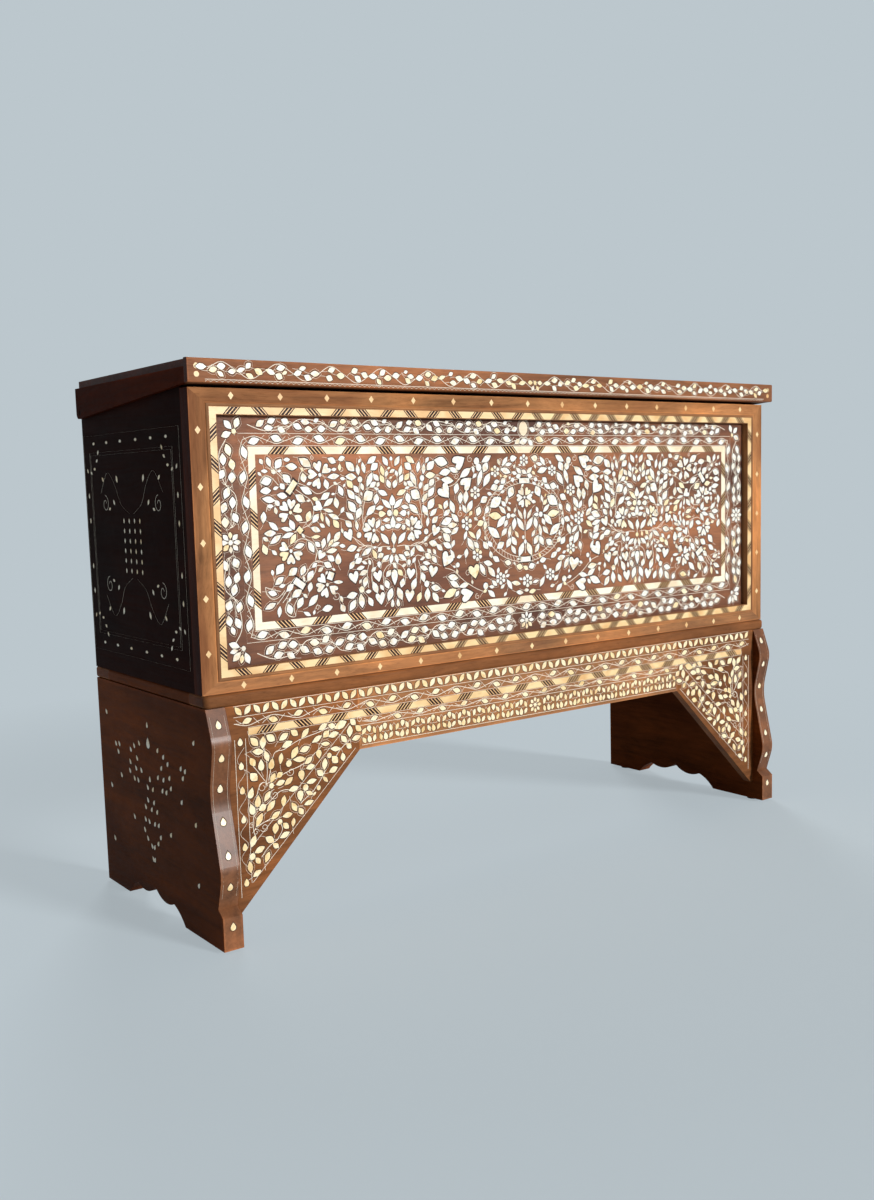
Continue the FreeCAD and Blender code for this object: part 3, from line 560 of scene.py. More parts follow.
class Inlay:
    """Pearl and wire let into one face. place() turns (across, up, proud) in mm into a point in metres."""

    def __init__(self, name, body, place, cream=0.0, grow=(1.0, 1.0), bounds=None):
        self.name, self.body, self.place, self.cream, self.grow = name, body, place, cream, grow
        self.bounds = bounds  # two corners that leaves and their stalks keep inside
        self.draw = random.Random(name)
        self.pearl, self.wires, self.taken = Gathered(), Gathered(), []

    def clear(self, u, v, turn, length, width, room):
        """Whether a piece would keep clear of the pieces already there."""
        c, s = heading(turn)
        a, b = length * self.grow[0] / 2 + PIECE_MARGIN, width * self.grow[1] / 2 + PIECE_MARGIN
        ring = [(0, 0), (1, 0), (-1, 0), (0, 1), (0, -1), (.6, .6), (.6, -.6), (-.6, .6), (-.6, -.6)]
        rim = [(u + a * p * c - b * q * s, v + a * p * s + b * q * c) for p, q in ring]
        for ou, ov, oc, os, oa, ob in self.taken:
            if abs(ou - u) + abs(ov - v) < 1.5 * (a + oa):
                if any(((x - ou) * oc + (y - ov) * os) ** 2 / oa ** 2
                       + ((y - ov) * oc - (x - ou) * os) ** 2 / ob ** 2 < room for x, y in rim):
                    return False
        return True

    def inside(self, points):
        return not self.bounds or all(low < x < high for point in points for low, x, high in zip(
            self.bounds[0], point, self.bounds[1]))

    def tips(self, u, v, turn, length, width):
        """The outermost points of a piece, with its dark line."""
        c, s = heading(turn)
        a, b = length * self.grow[0] / 2 + TIP_MARGIN, width * self.grow[1] / 2 + TIP_MARGIN
        return [(u + a * c, v + a * s), (u - a * c, v - a * s),
                (u - b * s, v + b * c), (u + b * s, v - b * c)]

    def put(self, kind, u, v, turn, length, width):
        """One piece of pearl with its middle at (u, v), its length turned from the horizontal."""
        model = pattern(kind)
        length, width = length * self.grow[0], width * self.grow[1]
        c, s = heading(turn)
        lift = self.draw.uniform(0.75, 1.15)
        self.taken.append((u, v, c, s, length / 2, width / 2))
        points = [self.place(u + a * length * c - b * width * s, v + a * length * s + b * width * c,
                             h * lift) for a, b, h in model.points]
        shade = min(1.0, self.draw.random() ** 3.2 * 0.84 * (1 - self.cream) + self.cream)
        self.pearl.add(points, model.faces, model.slots, shade)

    def leaf(self, u, v, turn, length, width, kind="leaf", ringed=0.3, room=NEAR):
        """A leaf on a wire stalk, some with a wire round them; it shrinks to keep clear of its neighbours."""
        share = next((k for k in SHRINK_STEPS if self.clear(u, v, turn, length * k, width * k, room)
                      and self.inside(self.tips(u, v, turn, length * k, width * k))), 0)
        if not share:
            return
        length, width = length * share, width * share
        self.put(kind, u, v, turn, length, width)
        bend = self.draw.choice((-1, 1)) * self.draw.uniform(2, 5)
        c, s = heading(turn)
        stalk = [(u - a * c - b * s, v - a * s + b * c) for a, b in
                 ((length * 0.5, 0), (length * 0.5 + STALK[0], bend * 0.3), (length * 0.5 + STALK[1], bend))]
        if self.inside(stalk):
            self.stem(stalk, thin=0.6)
        if self.draw.random() < ringed and length > RINGED_LENGTH:
            line = millimetres("chest_sizes", "dark_line")
            gap = 2 * (millimetres("chest_sizes", "outline_gap") + line) + 1
            length, width = length * self.grow[0], width * self.grow[1]
            loop = [(a * (length + gap), b * (width + gap)) for a, b in outline(kind)]
            self.run([(u + a * c - b * s, v + a * s + b * c) for a, b in loop], closed=True, thin=0.45)

    def thicken(self, count, spots, length, width):
        """Small leaves in the gaps beside pieces that are already there."""
        for _ in range(count):
            u, v, _, _, reach, _ = self.draw.choice(spots)
            way = self.draw.uniform(0, math.tau)
            reach += self.draw.uniform(4, 9)
            u, v = u + reach * math.cos(way), v + reach * math.sin(way)
            turn = math.degrees(way) + self.draw.uniform(-35, 35)
            self.leaf(u, v, turn, length, width, ringed=0.0, room=TOUCHING)

    def run(self, points, closed=False, thin=1.0):
        """A wire with a low ridge along points."""
        half = millimetres("chest_sizes", "wire_width") / 2 * thin
        count = len(points)
        made = []
        for i, (u, v) in enumerate(points):
            before = points[i - 1] if closed or i else points[0]
            after = points[(i + 1) % count] if closed or i < count - 1 else points[-1]
            du, dv = after[0] - before[0], after[1] - before[1]
            size = math.hypot(du, dv) or 1.0
            nu, nv = -dv / size * half, du / size * half
            made += [self.place(u + nu, v + nv, BED), self.place(u - nu, v - nv, BED),
                     self.place(u, v, WIRE_PROUD)]
        faces = []
        for i in range(count if closed else count - 1):
            a, b = 3 * i, 3 * ((i + 1) % count)
            faces += [[a, a + 2, b + 2, b], [a + 2, a + 1, b + 1, b + 2], [a + 1, a, b, b + 1]]
        if not closed:
            last = 3 * (count - 1)
            faces += [[0, 1, 2], [last + 1, last, last + 2]]
        self.wires.add(made, faces, [0] * len(faces), 0.0)

    def stem(self, points, thin=1.0):
        self.run(smooth(points), thin=thin)

    def coil(self, u, v, radius, start, way=1):
        turns = [(radius * (1 - COIL_SHRINK * k), math.radians(start + way * COIL_STEP * k))
                 for k in range(COIL_POINTS)]
        self.run([(u + r * math.cos(a), v + r * math.sin(a)) for r, a in turns], thin=0.8)

    def oval(self, u, v, across, up, thin=1.0, steps=64):
        self.run([(u + across * math.cos(math.tau * k / steps), v + up * math.sin(math.tau * k / steps))
                  for k in range(steps)], closed=True, thin=thin)

    def bloom(self, u, v, size, angles):
        """Heart petals round a dot."""
        for angle in angles:
            c, s = heading(angle)
            self.put("heart", u + 0.68 * size * c, v + 0.68 * size * s, angle, size * 0.86, size * 0.72)
        self.put("dot", u, v, 0, size * 0.3, size * 0.3)

    def rosette(self, u, v, radius):
        """Six drops round a dot."""
        for angle in range(90, 450, 60):
            c, s = heading(angle)
            self.put("drop", u + 0.64 * radius * c, v + 0.64 * radius * s, angle + 180,
                     radius * 0.72, radius * 0.56)
        self.put("dot", u, v, 0, radius * 0.42, radius * 0.42)

    def lay(self, view, table, centre=0.0):
        """The rows of a table, and their mirror image about the centre line, with the leaves last."""
        rows = [view.row(text) for text in filter(None, table.split("\n"))]
        for kind, given in sorted(rows, key=lambda row: row[0] in ("leaf", "drop")):
            across = given[::2] if kind == "stem" else given[:1]
            middle = all(abs(u) <= AXIS_WIDTH for u in across)
            for side in (1,) if middle else (1, -1):
                u, v = centre + side * given[0], given[1]
                turned = (lambda angle: angle) if side > 0 else (lambda angle: 180 - angle)
                if kind == "stem":
                    self.stem([(centre + side * a, b) for a, b in zip(given[::2], given[1::2])])
                elif kind == "bloom":
                    self.bloom(u, v, given[2], [turned(angle) for angle in given[3:]])
                elif kind == "rosette":
                    self.rosette(u, v, given[2])
                elif kind == "coil":
                    self.coil(u, v, given[2], turned(given[3]), side)
                elif kind == "dot":
                    self.put("dot", u, v, 0, given[2], given[2])
                elif kind in ("leaf", "drop"):
                    self.leaf(u, v, turned(given[2]), given[3], given[4], kind)
                else:
                    self.put(kind, u, v, turned(given[2]), given[3], given[4])

    def make(self):
        if self.pearl.faces:
            self.pearl.make(f"{self.name}_pearl", self.body, "pearl", ["mother_of_pearl", "mastic"])
        if self.wires.faces:
            self.wires.make(f"{self.name}_wire", self.body, "bone", ["pewter_wire"])


class Course:
    """A straight course on a face: at(s, t) is s along it and t to its left."""

    def __init__(self, start, end):
        self.start = start
        self.length = math.hypot(end[0] - start[0], end[1] - start[1])
        self.along = ((end[0] - start[0]) / self.length, (end[1] - start[1]) / self.length)
        self.turn = math.degrees(math.atan2(self.along[1], self.along[0]))

    def at(self, s, t=0.0):
        (u, v), (a, b) = self.start, self.along
        return u + s * a - t * b, v + s * b + t * a


def leaf_vine(inlay, start, end, pitch, sway, length, width):
    """A waving stem with a leaf in each bend and small forks behind the leaf."""
    course = Course(start, end)
    count = max(2, round(course.length / pitch))
    step = course.length / count
    wave = []
    for k in range(count):
        side = 1 if k % 2 else -1
        s = (k + 0.5) * step
        wave += [course.at(k * step), course.at(s, side * sway)]
        inlay.leaf(*course.at(s, -side * sway * 0.35), course.turn - side * 16, length, width, ringed=0.8)
        inlay.stem([course.at(s - 0.42 * step, -side * sway), course.at(s - 0.3 * step, -side * sway * 0.2),
                    course.at(s - 0.12 * step, side * sway * 0.5)], thin=0.75)
        inlay.stem([course.at(s + 0.24 * step, -side * sway), course.at(s + 0.36 * step, 0),
                    course.at(s + 0.46 * step, side * sway * 0.8)], thin=0.7)
    inlay.stem(wave + [course.at(course.length)], thin=0.95)


# Leaves of one loop of the outer border: along, to the left, turn, length, width
LOOP_LEAVES = [(-25, 8, 12, 18, 12), (-2, 9, -12, 19, 11), (20, 3, -28, 21, 11), (4, -7, -14, 20, 11),
               (-20, -11, 22, 18, 11)]


def loop_border(inlay, start, end, places, sway, size):
    """A waving stem with a loop of five leaves in each bend."""
    course = Course(start, end)
    wave = [course.at(0)]
    for k, s in enumerate(places):
        side = 1 if k % 2 else -1
        wave += [course.at(s - 33, side * sway * 0.4), course.at(s - 8, side * sway),
                 course.at(s + 18, side * sway)]
        for a, t, turn, length, width in LOOP_LEAVES:
            jitter = inlay.draw.uniform
            place = course.at(s + a + jitter(-3, 3), -side * t * size)
            inlay.leaf(*place, course.turn - side * turn + jitter(-12, 12),
                       length * size ** 0.5, width * size ** 0.5, ringed=0.8)
        for a, t, *_ in LOOP_LEAVES[:2] + LOOP_LEAVES[3:]:
            inlay.stem([course.at(s + a - 9, -side * t * size), course.at(s + a - 14, -side * t * size * 0.6),
                        course.at(s - 34, side * sway * 0.3)], thin=0.8)
    inlay.stem(wave + [course.at(course.length)], thin=1.2)


def fan(inlay, u, v, angles, reach, length, width):
    """A dot with leaves that point away from it."""
    inlay.put("dot", u, v, 0, 8, 8)
    for angle in angles:
        c, s = heading(angle)
        inlay.leaf(u + reach * c, v + reach * s, angle, length, width, ringed=0.5)


def rectangle(inlay, low, high, thin=0.8):
    corners = [(low[0], low[1]), (high[0], low[1]), (high[0], high[1]), (low[0], high[1])]
    inlay.run(corners, closed=True, thin=thin)


def front_face(depth):
    """Places on a face that looks towards the front at a depth in millimetres."""
    return lambda u, v, h: (u * MM, (depth - h) * MM, v * MM)


def end_face(depth, middle, side):
    """Places on an end of the chest, with across measured from the middle of its depth."""
    return lambda u, v, h: ((depth + side * h) * MM, (middle + side * u) * MM, v * MM)


def cast_face(node):
    """Places on the front of a node that isn't flat, found by looking at it from the front."""
    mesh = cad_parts[node].data
    tree = BVHTree.FromPolygons([v.co for v in mesh.vertices], [p.vertices for p in mesh.polygons])
    foremost = CAD_BOX[0].y

    def place(u, v, h):
        hit = tree.ray_cast(Vector((u * MM, foremost - LOOK_FROM, v * MM)), Vector((0, 1, 0)))[0]
        depth = hit.y if hit else foremost
        return (u * MM, depth - h * MM * (FOOT_SHARE if depth < foremost + MM else 1), v * MM)
    return place


class View:
    """A straightened view of the front: its points per millimetre, and its left and top edges."""

    def __init__(self, scale, left, top):
        self.scale, self.left, self.top = scale, left, top

    def across(self, points):
        return round(self.left + points / self.scale)

    def up(self, points):
        return round(self.top - points / self.scale)

    def size(self, points):
        return round(points / self.scale)

    def row(self, text):
        """The kind of a row, and its numbers in whole millimetres and degrees."""
        kind, *words = text.split()
        given = [int(word) for word in words]
        if kind == "stem":
            return kind, [self.up(n) if k % 2 else self.across(n) for k, n in enumerate(given)]
        place = [self.across(given[0]), self.up(given[1])]
        if kind in ("dot", "rosette", "coil", "bloom"):
            return kind, [*place, self.size(given[2]), *given[3:]]
        return kind, [*place, given[2], self.size(given[3]), self.size(given[4])]


PANEL_TOP, BRACKET_TOP = 840, 420  # heights of the views' top edges, in millimetres
VINE_VIEW = View(4.6, -613.5, PANEL_TOP)
BOUQUET_VIEW = View(4.6, -540 / 4.6, PANEL_TOP)  # its middle line is at 540 points
MEDALLION_VIEW = View(3.6, -795 / 3.6, PANEL_TOP)  # its middle line is at 795 points
BRACKET_VIEW = View(4.0, -690, BRACKET_TOP)

# Where the inlay pieces lie, as read in these views, in points from the left and the top, and degrees.
# Each row is a kind and its numbers. leaf, drop, heart, bar: across, down, turn, length, width.
# dot: across, down, diameter. stem: points. rosette: across, down, radius.
# bloom: across, down, petal length, petal turns. coil: across, down, radius, start.

# Pearl and wire of the left end field, mirrored for the right one
VINE = """
leaf 157 132 120 52 32
leaf 222 140 110 98 46
leaf 305 150 55 92 55
leaf 183 207 -4 62 28
leaf 262 212 -35 52 30
leaf 422 177 -5 104 50
leaf 543 142 -32 122 60
bloom 680 242 96 105 37 175 247
leaf 802 256 6 114 42
leaf 732 318 -76 84 44
leaf 525 262 -80 80 50
leaf 793 130 -25 82 46
leaf 885 115 20 78 46
leaf 195 285 15 98 60
leaf 375 266 -45 92 54
leaf 335 325 -50 60 40
bar 418 338 52 104 42
leaf 188 360 3 98 50
leaf 328 400 -10 94 44
leaf 545 362 -28 118 52
leaf 722 412 32 102 46
leaf 868 372 -66 92 46
leaf 208 430 -10 114 44
leaf 285 455 -50 62 38
leaf 490 422 -32 102 56
heart 655 495 150 84 78
leaf 747 465 34 112 40
leaf 820 468 -80 92 48
leaf 745 530 -13 112 32
leaf 792 578 -22 112 38
leaf 681 578 -80 80 28
leaf 735 615 -70 92 32
leaf 810 638 -52 102 54
leaf 625 588 50 92 44
bloom 400 535 92 140 82 22 207
leaf 408 628 -65 92 48
leaf 466 580 -30 84 46
leaf 560 572 68 92 48
leaf 160 564 84 92 46
leaf 243 636 -40 106 42
leaf 357 664 -12 118 38
leaf 367 714 16 110 36
leaf 207 690 2 108 48
leaf 256 742 34 120 42
bar 478 675 45 40 40
leaf 618 676 -20 98 42
leaf 618 735 4 88 28
leaf 412 745 58 96 42
bloom 388 835 92 152 208 268 330
leaf 468 799 14 92 42
leaf 157 815 -70 88 44
leaf 572 812 -60 108 46
leaf 690 792 76 88 40
leaf 738 748 74 92 28
leaf 757 793 48 76 28
leaf 815 746 54 102 46
leaf 800 804 18 108 34
leaf 760 856 8 106 36
leaf 632 796 -40 66 36
heart 660 888 60 72 64
leaf 750 916 -36 76 48
drop 822 920 88 94 50
leaf 285 975 50 108 60
leaf 398 1003 34 98 56
leaf 488 1000 62 86 46
leaf 722 966 -28 82 46
leaf 272 1068 36 98 48
leaf 555 1046 54 98 50
bar 455 1098 -35 96 48
bloom 712 1125 92 134 192 250 323
bar 742 1058 68 62 46
leaf 812 1112 -4 92 28
leaf 367 1128 42 84 48
leaf 548 1136 74 82 42
leaf 208 1160 -18 84 42
leaf 425 1176 28 104 54
leaf 455 1254 58 102 52
leaf 572 1248 44 122 50
leaf 355 1296 -72 92 50
leaf 185 1262 22 104 42
leaf 248 1240 24 84 34
leaf 265 1310 82 108 42
leaf 515 1350 -28 126 44
leaf 700 1318 10 102 50
leaf 850 1328 -60 72 44
coil 212 495 24 0
coil 612 108 20 90
coil 880 197 24 180
coil 612 1305 24 0
coil 795 1222 38 200
stem 240 176 318 250 392 318
stem 262 168 332 238 402 302
stem 455 352 522 398 582 442 608 506 596 574 546 614 470 616
stem 425 690 500 662 560 640 606 598
stem 420 772 480 746 546 758 600 796 630 850 612 904
stem 470 1062 520 1020 566 956 634 930 700 956
stem 500 1080 552 1082 600 1016 622 968 690 978
stem 415 1048 364 1104 310 1182 246 1252
stem 436 1062 388 1120 336 1194 296 1240
stem 150 1108 160 1166 206 1204 266 1194 322 1146
stem 150 1108 214 1130 282 1152
stem 424 1192 342 1236 318 1306 352 1352 406 1358 392 1290 436 1216
stem 470 302 560 338 640 392 722 374 790 332 870 304
stem 152 330 150 276 196 246 250 268 300 318
stem 188 520 200 470 240 480
stem 632 840 610 918 640 944
stem 480 300 498 232 540 196 600 186
"""

# Left half of a bouquet field, about its middle
BOUQUET = """
leaf 137 180 -44 112 60
leaf 210 205 -82 90 36
leaf 262 190 -78 96 36
leaf 345 127 32 108 48
leaf 370 184 38 118 74
leaf 478 140 -58 112 52
drop 540 115 90 52 38
leaf 450 215 -75 92 36
leaf 140 260 -4 104 52
dot 225 285 46
leaf 320 288 64 132 48
leaf 490 245 75 78 42
leaf 384 272 -46 80 40
leaf 442 286 -62 76 42
leaf 128 322 -50 110 66
leaf 186 362 -50 106 54
leaf 135 406 -50 104 52
leaf 206 450 -52 114 48
leaf 245 346 -74 92 46
leaf 508 328 -68 78 42
drop 540 310 90 82 48
leaf 350 332 32 90 48
leaf 404 330 62 66 42
leaf 384 364 -15 78 26
leaf 442 400 -22 108 42
leaf 478 438 8 112 26
drop 540 462 90 90 52
leaf 302 424 34 112 78
leaf 380 452 78 92 52
leaf 480 494 -40 122 42
leaf 138 508 -54 116 60
leaf 206 560 62 104 52
leaf 324 545 40 118 52
leaf 412 525 10 110 44
drop 440 576 0 72 44
dot 508 572 50
leaf 116 580 -40 98 40
leaf 104 644 -42 84 48
leaf 182 660 -82 82 34
bloom 345 710 92 105 160 220 278
leaf 388 660 62 84 40
dot 432 695 42
leaf 474 626 5 78 34
drop 540 640 90 102 44
leaf 488 682 -20 72 36
dot 198 742 44
heart 104 740 112 92 78
leaf 452 782 -50 124 46
leaf 490 768 -66 98 36
leaf 546 788 90 104 44
dot 540 885 42
leaf 124 848 14 102 50
leaf 270 882 30 112 42
leaf 346 905 -66 94 38
leaf 404 870 40 62 38
leaf 408 922 24 66 40
leaf 452 946 34 96 38
leaf 512 958 78 82 38
leaf 186 950 30 82 44
leaf 122 986 52 84 40
leaf 174 912 44 58 34
leaf 246 970 -20 80 30
heart 142 1088 104 97 83
leaf 234 1052 20 108 44
leaf 206 1014 12 84 32
drop 390 1000 -88 56 34
heart 374 1096 100 92 78
leaf 245 1130 75 92 46
dot 210 1190 50
leaf 342 1180 -66 128 60
drop 540 1116 270 133 55
leaf 480 1076 48 72 40
leaf 462 1166 -70 82 46
leaf 490 1256 68 120 54
leaf 548 1250 90 136 50
drop 514 1326 84 82 38
heart 393 1283 98 101 83
leaf 114 1234 12 108 52
leaf 118 1316 54 112 52
leaf 204 1284 -84 120 56
leaf 292 1296 -62 92 44
stem 540 450 540 540 540 640
stem 540 820 540 905
stem 505 850 430 845 350 855 270 835 200 790 120 745
stem 250 700 240 600 255 500 290 380 300 260
stem 230 700 275 600 330 570
stem 190 850 280 830 360 850
stem 220 960 300 940 330 990 310 1100 330 1210
stem 280 1180 270 1060 290 980
stem 400 1030 420 980 470 970 540 940
stem 440 1180 425 1080 470 1010 540 990
stem 210 620 220 520 215 410 225 285
stem 160 770 200 815 250 830
coil 205 855 20 0
"""

# Left half of the middle field, about its middle
MEDALLION = """
bloom 795 375 64 125 55 182 -2 238 302
stem 795 452 795 560 795 680 795 775
leaf 795 492 90 82 22
leaf 752 494 -58 84 24
drop 690 500 0 66 32
dot 645 500 36
leaf 522 495 -8 116 48
leaf 590 456 -42 110 38
leaf 574 540 44 110 42
leaf 618 556 62 80 38
leaf 530 404 32 118 66
leaf 600 414 -46 86 46
leaf 630 388 76 84 28
leaf 668 335 64 84 54
leaf 752 560 -56 110 40
leaf 696 560 80 104 44
leaf 714 632 -56 96 40
leaf 600 616 46 74 32
leaf 650 616 80 90 28
leaf 508 612 -38 128 52
leaf 548 640 -60 62 36
leaf 692 682 -56 80 40
leaf 640 690 60 80 38
leaf 566 704 32 74 44
leaf 682 742 -58 104 44
leaf 756 744 66 108 44
leaf 795 690 90 40 24
dot 776 660 26
rosette 795 112 40
rosette 530 186 40
rosette 350 330 42
rosette 270 540 46
rosette 355 760 42
rosette 560 938 42
rosette 808 972 46
leaf 620 120 52 84 30
leaf 652 142 8 90 32
leaf 622 182 -16 96 38
drop 700 96 10 62 38
leaf 745 182 -40 66 28
leaf 392 232 72 118 36
leaf 452 244 56 112 42
leaf 452 282 22 120 38
leaf 516 300 18 70 44
leaf 576 302 30 84 36
leaf 600 254 40 66 44
leaf 742 224 14 62 36
leaf 686 250 20 40 30
leaf 265 360 82 92 40
leaf 218 362 85 84 38
leaf 300 424 60 94 40
leaf 252 440 -62 92 40
leaf 374 460 68 70 42
leaf 306 470 50 70 38
leaf 425 382 30 72 44
leaf 448 455 62 56 34
leaf 400 300 70 90 32
leaf 388 545 20 62 38
leaf 432 560 80 64 30
leaf 312 620 -40 112 36
leaf 256 622 70 110 40
leaf 300 680 -60 120 46
leaf 348 690 -48 84 42
leaf 370 620 70 84 36
leaf 430 700 -52 70 40
leaf 470 690 -44 64 36
leaf 410 746 -30 66 36
leaf 260 745 80 70 34
leaf 450 825 -14 84 36
leaf 522 800 -32 72 36
leaf 556 740 -30 70 36
leaf 400 865 -62 92 36
leaf 478 884 -50 116 46
leaf 505 970 -42 62 30
leaf 630 830 -12 66 36
leaf 640 985 -58 90 34
leaf 700 982 -12 100 36
leaf 662 950 30 92 36
leaf 738 868 -18 60 38
leaf 735 1050 -10 92 40
drop 850 1055 20 60 40
leaf 640 940 60 60 30
coil 575 118 22 0
coil 310 102 24 90
stem 330 130 350 150 372 136
stem 60 290 160 272 240 214 330 152
heart 220 116 210 100 88
dot 366 116 46
dot 384 160 46
leaf 452 100 28 92 38
leaf 492 96 10 76 34
leaf 442 160 60 74 46
leaf 60 116 -12 112 56
leaf 116 112 -48 98 48
leaf 92 186 10 98 42
leaf 166 172 -22 84 34
leaf 112 240 -6 106 42
heart 90 322 130 98 90
heart 280 260 220 92 80
leaf 266 196 34 112 42
leaf 186 300 74 80 40
leaf 162 352 62 104 42
coil 190 212 20 180
coil 232 266 18 0
leaf 92 408 64 66 36
leaf 148 420 -70 92 38
leaf 100 460 36 92 42
coil 216 470 26 60
leaf 96 520 20 98 46
leaf 168 498 -44 84 36
leaf 66 546 4 92 40
leaf 142 548 6 98 40
leaf 92 578 -18 92 34
leaf 166 586 36 80 34
leaf 222 542 0 70 30
leaf 92 628 -46 84 44
leaf 96 682 -28 108 50
leaf 148 672 64 74 36
leaf 140 742 -62 110 40
heart 90 780 60 98 88
dot 184 822 34
leaf 30 690 -40 70 34
stem 75 835 150 860 230 930 330 990 400 1020
leaf 140 902 -10 92 40
leaf 150 950 -30 94 36
leaf 232 964 12 92 34
leaf 110 1010 24 118 50
leaf 172 1018 52 84 42
heart 262 1030 190 100 84
leaf 150 985 30 50 28
heart 328 880 100 92 86
dot 424 984 42
leaf 416 1020 24 62 36
leaf 476 1042 -40 92 40
leaf 520 1050 -14 96 40
coil 268 882 24 0
coil 350 1050 22 90
"""

# Pearl and wire of the left bracket's field, mirrored for the right one
BRACKET = """
leaf 255 310 -48 92 48
leaf 318 330 84 98 48
leaf 278 385 -10 98 44
leaf 345 425 -72 92 38
leaf 380 302 -36 86 52
leaf 480 310 30 92 44
leaf 565 296 -38 76 44
leaf 650 310 46 98 42
leaf 790 290 26 86 42
leaf 866 292 -20 70 40
leaf 936 296 20 118 54
leaf 816 346 40 72 48
leaf 876 355 10 98 44
leaf 740 366 26 116 44
leaf 506 370 20 98 44
leaf 562 436 56 102 48
leaf 640 424 14 92 44
leaf 584 394 46 58 34
leaf 810 412 -8 84 34
leaf 236 446 -60 80 44
drop 300 475 90 88 44
drop 380 480 76 86 44
leaf 452 460 80 86 36
dot 512 502 50
leaf 596 486 -6 110 40
leaf 668 508 36 84 42
drop 752 480 -86 74 44
leaf 238 552 -48 84 54
leaf 384 586 60 78 40
leaf 436 572 30 64 40
dot 372 636 42
leaf 438 628 14 80 42
leaf 506 628 34 92 42
leaf 680 556 10 78 40
drop 608 606 -84 84 46
drop 218 655 72 84 44
drop 262 718 82 92 44
leaf 335 706 54 92 38
drop 215 770 104 86 44
leaf 297 776 26 70 50
leaf 362 776 46 104 44
leaf 540 690 10 86 38
leaf 460 760 80 86 42
leaf 268 856 60 112 44
leaf 390 850 30 92 42
leaf 217 995 66 96 44
coil 305 637 38 0
coil 525 565 34 180
coil 390 705 38 90
coil 305 915 30 200
coil 238 935 24 0
coil 208 885 20 60
stem 330 640 345 540 340 430 318 370
stem 330 600 270 520 235 470
stem 350 600 400 420 480 400 600 350 760 320 900 280
stem 330 620 500 560 640 520 780 420
stem 240 1000 220 900 230 800 270 640 310 600
stem 240 900 330 870 420 840
stem 250 780 330 760 430 690 510 690
"""

# Pearl along the left bracket's slope, mirrored
DIAGONAL = """
leaf 485 862 5 90 40
leaf 540 816 -60 90 42
leaf 590 858 -56 74 40
leaf 530 925 80 70 34
dot 425 900 40
leaf 388 940 80 90 48
leaf 467 938 -46 72 42
leaf 455 1000 20 92 42
leaf 340 1006 -36 88 48
leaf 386 1060 -40 76 44
leaf 315 1130 66 86 38
leaf 260 1066 20 92 44
dot 203 1100 46
leaf 245 1138 -54 76 44
leaf 182 1168 -84 96 42
leaf 230 1222 30 82 38
drop 590 750 -88 86 46
dot 635 697 48
leaf 665 740 -26 70 34
dot 740 715 36
leaf 702 752 40 52 26
leaf 658 806 12 86 36
leaf 685 660 8 92 36
leaf 755 612 -40 74 44
leaf 795 556 82 98 44
leaf 797 665 -50 78 34
leaf 865 606 20 84 44
leaf 880 536 -50 80 52
dot 835 500 42
leaf 890 460 -10 98 36
leaf 948 526 -84 74 40
leaf 960 402 -50 78 42
leaf 1000 456 -46 62 40
leaf 1012 352 86 98 48
leaf 1040 290 -50 74 44
leaf 1066 408 12 86 38
leaf 1085 340 -46 74 44
leaf 1165 350 10 82 46
leaf 1212 405 26 86 38
coil 1100 275 22 90
stem 400 1020 330 1060 270 1120
stem 400 1020 440 960 430 910
stem 700 730 640 770 590 800
stem 700 730 760 660 800 600
stem 1000 420 920 480 860 560
"""


class ChestStep:
    """What all the steps share."""

    bl_options = {"REGISTER", "UNDO"}


# Node prefix, colour, grain axis, share of stain, width of the rubbed edge in mm; the first match counts
# The cleat, case and end woods are darker walnuts that paint the shade of the chest's sides; the stile wood
# is paler, painting the sheen of the uprights and top rail.
WOODS = [
    ("front_panel", "panel_wood", "X", 0.9, 90.0),
    ("front_stile", "stile_wood_painted_sheen", "Z", 0.85, 2.2),
    ("front_rail_top", "stile_wood_painted_sheen", "X", 0.75, 2.2),
    ("front_rail", "frame_wood", "X", 0.75, 2.2),
    ("moulding_left", "frame_wood", "Z", 0.6, 1.2),
    ("moulding_right", "frame_wood", "Z", 0.6, 1.2),
    ("moulding", "frame_wood", "X", 0.6, 1.2),
    ("lid_cleat", "cleat_wood_painted_shade", "Y", 0.5, 2.0),
    ("lid", "lid_wood", "X", 0.4, 3.0),
    ("case_side", "case_wood_painted_shade", "Y", 0.6, 2.5),
    ("case", "stand_wood", "X", 0.6, 2.5),
    ("apron_bracket", "stand_wood", "X", 0.9, 2.0),
    ("apron", "frame_wood", "X", 0.6, 2.0),
    ("stand_end", "end_wood", "Y", 0.5, 5.0),
    ("stand_ledge_left", "end_wood", "Y", 0.5, 2.5),
    ("stand_ledge_right", "end_wood", "Y", 0.5, 2.5),
    ("stand_glue", "stand_wood", "Z", 0.5, 2.0),
    ("stand", "stand_wood", "X", 0.4, 2.5),
    ("hinge_pin", "case_wood_painted_shade", "X", 0.3, 1.0),
]
USUAL_SHINE = 0.25
# How strongly the duller woods reflect
SHINE = {"case_wood_painted_shade": 0.01, "cleat_wood_painted_shade": 0.01, "end_wood": 0.02, "stile_wood_painted_sheen": 0.03, "stand_wood": 0.06,
         "lid_wood": 0.1, "frame_wood": 0.15}
RUBBED_EDGE, DULL_EDGE = (1.5, 1.42, 1.3), (0.47, 0.43, 0.42)  # tints of a board's edges
# Node prefix and finish of the pieces that aren't wood
SMALL_PIECES = [("moulding_bone", "aged_bone"), ("apron_bone", "aged_bone"), ("panel_bone", "fresh_bone"),
                ("front_rail_bottom_pearl", "aged_bone"), ("front_rail_top_pearl", "aged_bone"),
                ("front_stile_left_pearl", "aged_bone"), ("front_stile_right_pearl", "aged_bone"),
                ("lid_pearl", "aged_bone"), ("panel_oval", "cream_pearl"), ("foot_glides", "glide_felt")]


